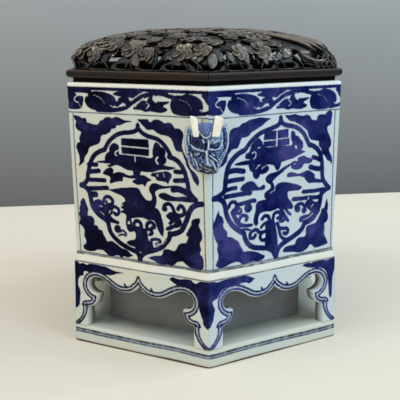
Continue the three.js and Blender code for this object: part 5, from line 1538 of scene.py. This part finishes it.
def clear_of_fronds(share, bearing):
    """Whether a place is off the two fronds, which keep the carving round them low."""
    for corner in FROND_CORNERS:
        aside = (bearing - corner + 0.1 + math.pi) % (2 * math.pi) - math.pi
        if abs(aside) <= 0.24 and share <= 0.62:
            return False
    return True


def build_carved_dome(material):
    """The pierced dome: blossoms, leaves and stems in low relief on a web with open voids."""
    chance = random.Random(11)
    draw, whole_turn = chance.uniform, 2 * math.pi
    blossoms, leaf = [blossom_mesh(5), blossom_mesh(6)], leaf_mesh()
    bm = bmesh.new()
    build_web(bm)
    for share, bearing in scatter_on_dome(9.4 * MM, 5, 0.2, NEAR_CROWN):
        if clear_of_fronds(share, bearing):
            turn = turned(draw(0, whole_turn))
            tilt = turned(math.radians(draw(-5, 5)), "X")
            size = Matrix.Scale(draw(0.75, 1.06) * min(1, 0.72 + share), 4)
            blossom = chance.choice(blossoms)
            put(bm, blossom, dome_frame(share, bearing, draw(0.25, 0.6) * MM), tilt, turn, size)
    for share, bearing in scatter_on_dome(5.8 * MM, 9, 0.13, NEAR_CROWN):
        if clear_of_fronds(share, bearing):
            turn = turned(draw(0, whole_turn))
            stand = dome_frame(share, bearing, draw(0.6, 1.7) * MM)
            put(bm, leaf, stand, turn, Matrix.Scale(draw(0.5, 0.95), 4))
    hanging, twigs, branches = 11, 48, 40
    for i in range(hanging):
        bearing = (i + draw(-0.4, 0.4)) / hanging * 2 * math.pi
        if clear_of_fronds(0.1, bearing):
            turn = turned(math.pi / 2 + draw(-0.7, 0.7))
            put(bm, leaf, dome_frame(0.13, bearing, 0.6 * MM), turn, Matrix.Scale(draw(0.6, 0.9), 4))
    for i in range(twigs):
        bearing = (i + draw(-0.3, 0.3)) / twigs * 2 * math.pi
        swing = chance.choice((-1, 1)) * draw(0.06, 0.14)
        line = [dome_place(0.2 * t, bearing + swing * t**1.5, 1.7 * MM) for t in (0, 0.35, 0.7, 1)]
        stem(bm, line, draw(0.35, 0.6) * MM)
    for _ in range(branches):
        share, bearing = draw(0.15, 0.9), draw(0, whole_turn)
        swing, climb = draw(-0.2, 0.2) / max(0.25, 1 - share), draw(-0.12, 0.12)
        line = []
        for t in np.linspace(0, 1, 7):
            level = min(share + climb * math.sin(2.4 * t), 0.98)
            line.append(dome_place(level, bearing + swing * t, 0.9 * MM))
        stem(bm, line, 0.7 * MM)
    for corner in FROND_CORNERS:
        build_frond(bm, corner)
    bmesh.ops.recalc_face_normals(bm, faces=bm.faces)
    settle_on_dome(bm)
    for vert in bm.verts:
        vert.co.z = min(vert.co.z, DOME_TOP - 0.02 * MM)
    finish_piece(bm, "carved_blossom_dome", material, "cover", "carved_dome")


def dress_nodes(kinds, material):
    """Gives construction pieces that stay in view their finish, on every side."""
    for kind in kinds:
        for side in SIDES:
            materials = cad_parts[f"{kind}_{side}"].data.materials
            materials.clear()
            materials.append(material)


def pale_cloth():
    """Pale smooth cloth. The camera and the glaze see it a little lifted where it runs back."""
    material, tree = new_material("pale_cloth")
    rays = add(tree, "ShaderNodeLightPath").outputs
    seen = rays["Is Camera Ray"]
    for kind in ("Is Glossy Ray", "Is Transmission Ray"):
        seen = calculate(tree, "MAXIMUM", seen, rays[kind])
    lift = fade(tree, along_axis(tree, "Y"), -0.15, 0.3, 0.2, 0.02)
    inputs = {"Base Color": ramp(tree, object_noise(tree, 3.0), [(0.3, "#dfd8c9"), (0.7, "#e5decf")])}
    inputs |= {"Roughness": 0.9, "Specular IOR Level": 0.1, "Emission Color": linear("#fff9ee")}
    close_shader(tree, inputs | {"Emission Strength": calculate(tree, "MULTIPLY", seen, lift)})
    return material


def grey_board():
    """A matt grey board that grows lighter upwards. From behind it is clear, and never hides the vessel."""
    material, tree = new_material("grey_board")
    shade = ramp(tree, along_axis(tree), [(0.0, "#717173"), (0.21, "#a9acb0")], "LINEAR")
    inputs = {"Base Color": shade, "Roughness": 0.9, "Specular IOR Level": 0.1}
    board = add(tree, "ShaderNodeBsdfPrincipled", inputs)
    clear = add(tree, "ShaderNodeBsdfTransparent")
    behind = add(tree, "ShaderNodeNewGeometry").outputs["Backfacing"]
    mixed = add(tree, "ShaderNodeMixShader", {0: behind, 1: board.outputs["BSDF"], 2: clear.outputs["BSDF"]})
    add(tree, "ShaderNodeOutputMaterial", {"Surface": mixed.outputs["Shader"]})
    return material


def add_board(name, size, matrix, material):
    """A flat board of the stage."""
    bm = bmesh.new()
    bmesh.ops.create_grid(bm, x_segments=1, y_segments=1, size=size, matrix=matrix)
    mesh = mesh_from(bm, name)
    mesh.materials.append(material)
    board = bpy.data.objects.new(name, mesh)
    bpy.context.scene.collection.objects.link(board)


def studio_world(strength):
    """Even light, brighter overhead than at the horizon."""
    world = bpy.data.worlds.new("studio")
    world.use_nodes = True
    tree = world.node_tree
    way = add(tree, "ShaderNodeTexCoord").outputs["Generated"]
    height = add(tree, "ShaderNodeSeparateXYZ", {"Vector": way}).outputs["Z"]
    background = tree.nodes["Background"].inputs
    tree.links.new(ramp(tree, height, [(0.0, "#a6a4a2"), (1.0, "#ffffff")], "LINEAR"), background["Color"])
    background["Strength"].default_value = strength
    return world


def add_lamp(name, place, size, power, colour):
    """A square lamp that faces the vessel."""
    light = bpy.data.lights.new(name, "AREA")
    light.size, light.energy, light.color = size, power, colour
    lamp = bpy.data.objects.new(name, light)
    lamp.location = place
    lamp.rotation_mode = "QUATERNION"
    lamp.rotation_quaternion = (Vector(VESSEL_MIDDLE) - Vector(place)).to_track_quat("-Z", "Y")
    bpy.context.scene.collection.objects.link(lamp)


VESSEL_MIDDLE = (0, 0, 0.08)
# Each lamp's name, place, size in metres, power in watts and colour.
LAMPS = (
    ("window", (0.9, -0.5, 0.75), 0.9, 7.0, (0.56, 0.82, 1.0)),
    ("fill", (-0.9, -0.8, 0.6), 1.0, 4.0, (1.0, 0.9, 0.72)),
    ("far_window", (0.5, 0.12, 0.75), 0.09, 0.5, (0.9, 0.96, 1.0)),
    ("high_lamp", (-0.4, -0.25, 0.8), 0.09, 0.8, (1.0, 0.96, 0.9)),
)
BACKDROP_BACK, BACKDROP_MIDDLE, BACKDROP_YAW = 0.31, 0.5, math.radians(7)
# The camera: solved from the corners of the mouth and the foot in the photograph.
CAMERA_PLACE = (-1.473 * MM, -440.37 * MM, 162.84 * MM)
CAMERA_YAW, CAMERA_DIP, CAMERA_ROLL = (math.radians(angle) for angle in (-1.8315, 12.219, -0.242))


class BurnerSettings(bpy.types.PropertyGroup):
    """Sizes that a user may change before building."""

    corner_round: bpy.props.FloatProperty(
        name="Corner rounding",
        description="Radius of the glazed corners of the vessel",
        default=1.3 * MM,
        unit="LENGTH",
        subtype="DISTANCE",
    )
    lens: bpy.props.FloatProperty(
        name="Lens",
        description="Focal length of the camera on a 36 mm sensor, in millimetres",
        default=70.84,
        unit="CAMERA",
    )
    daylight: bpy.props.FloatProperty(
        name="Daylight", description="Strength of the even studio light", default=0.97
    )


class CENSER_OT_walls(bpy.types.Operator):
    """Builds the six painted walls"""

    bl_idname = "censer.walls"
    bl_label = "Painted walls"

    def execute(self, context):
        known = {}
        for side in SIDES:
            build_wall(side, cobalt_of(side), context.scene.censer.corner_round, known)
        return {"FINISHED"}


class CENSER_OT_stand(bpy.types.Operator):
    """Builds the arcade, the plinth and the shoulder, and finishes the inner core"""

    bl_idname = "censer.stand"
    bl_label = "Openwork stand"

    def execute(self, context):
        corner_round = context.scene.censer.corner_round
        for side in SIDES:
            build_apron(side, cobalt_of(side), corner_round)
        build_plinth(corner_round)
        build_shoulder(corner_round)
        dress_nodes(["core_slab"], shaded_core_body())
        return {"FINISHED"}


class CENSER_OT_masks(bpy.types.Operator):
    """Builds the two beast masks and their horns"""

    bl_idname = "censer.masks"
    bl_label = "Beast masks"

    def execute(self, context):
        glaze, horn = mask_glaze(), horn_glaze()
        for place in ("front", "back"):
            build_mask(place, glaze)
            for hand in ("left", "right"):
                build_horn(place, hand, horn)
        return {"FINISHED"}


class CENSER_OT_cover(bpy.types.Operator):
    """Builds the carved dome and finishes the rails and strips of the cover"""

    bl_idname = "censer.cover"
    bl_label = "Carved cover"

    def execute(self, context):
        build_carved_dome(carved_hardwood())
        brown, dark = ("#0c0503", "#190c06", "#26140c"), ("#030202", "#060404", "#0a0706")
        # The rails carry a painted highlight on the top edge and a painted reflection on the lower bevel.
        dress_nodes(["cover_rail"], waxed_hardwood("moulded_brown_wood", brown, 0.3, 0.2, RAIL_TOP))
        # The seat and tongue strips sit in the gap under the rails and are coloured near black as painted
        # shadow.
        dress_nodes(["seat_strip", "tongue_strip"], waxed_hardwood("near_black_wood_painted_shadow", dark, 0.7, 0.1))
        return {"FINISHED"}


class CENSER_OT_stage(bpy.types.Operator):
    """Builds the floor, the backdrop, the lights and the camera"""

    bl_idname = "censer.stage"
    bl_label = "Stage"

    def execute(self, context):
        scene = context.scene
        add_board("floor", 2, Matrix.Identity(4), pale_cloth())
        standing = Matrix.Translation((0, BACKDROP_BACK, BACKDROP_MIDDLE)) @ turned(math.pi / 2, "X")
        add_board("backdrop", 1, turned(BACKDROP_YAW) @ standing, grey_board())
        scene.world = studio_world(scene.censer.daylight)
        for lamp in LAMPS:
            add_lamp(*lamp)
        camera = bpy.data.objects.new("camera", bpy.data.cameras.new("camera"))
        camera.data.lens = scene.censer.lens
        camera.data.sensor_width = 36
        aim = turned(math.pi / 2 - CAMERA_DIP, "X") @ turned(CAMERA_ROLL)
        camera.matrix_world = turned(CAMERA_YAW) @ Matrix.Translation(CAMERA_PLACE) @ aim
        scene.collection.objects.link(camera)
        scene.camera = camera
        scene.view_settings.view_transform = "Standard"
        return {"FINISHED"}


class CENSER_PT_panel(bpy.types.Panel):
    """Lists the pieces of the incense burner"""

    bl_idname = "CENSER_PT_panel"
    bl_label = "Incense Burner"
    bl_space_type = "VIEW_3D"
    bl_region_type = "UI"
    bl_category = "Censer"

    def draw(self, context):
        for name in ("corner_round", "lens", "daylight"):
            self.layout.prop(context.scene.censer, name)
        for operator in OPERATORS:
            self.layout.operator(operator.bl_idname)


OPERATORS = (CENSER_OT_walls, CENSER_OT_stand, CENSER_OT_masks, CENSER_OT_cover, CENSER_OT_stage)


def register():
    for made in (BurnerSettings, *OPERATORS, CENSER_PT_panel):
        bpy.utils.register_class(made)
    bpy.types.Scene.censer = bpy.props.PointerProperty(type=BurnerSettings)


def unregister():
    del bpy.types.Scene.censer
    for made in (CENSER_PT_panel, *reversed(OPERATORS), BurnerSettings):
        bpy.utils.unregister_class(made)


def main():
    register()
    bpy.ops.censer.walls()
    bpy.ops.censer.stand()
    bpy.ops.censer.masks()
    bpy.ops.censer.cover()
    bpy.ops.censer.stage()


if __name__ == "__main__":
    main()
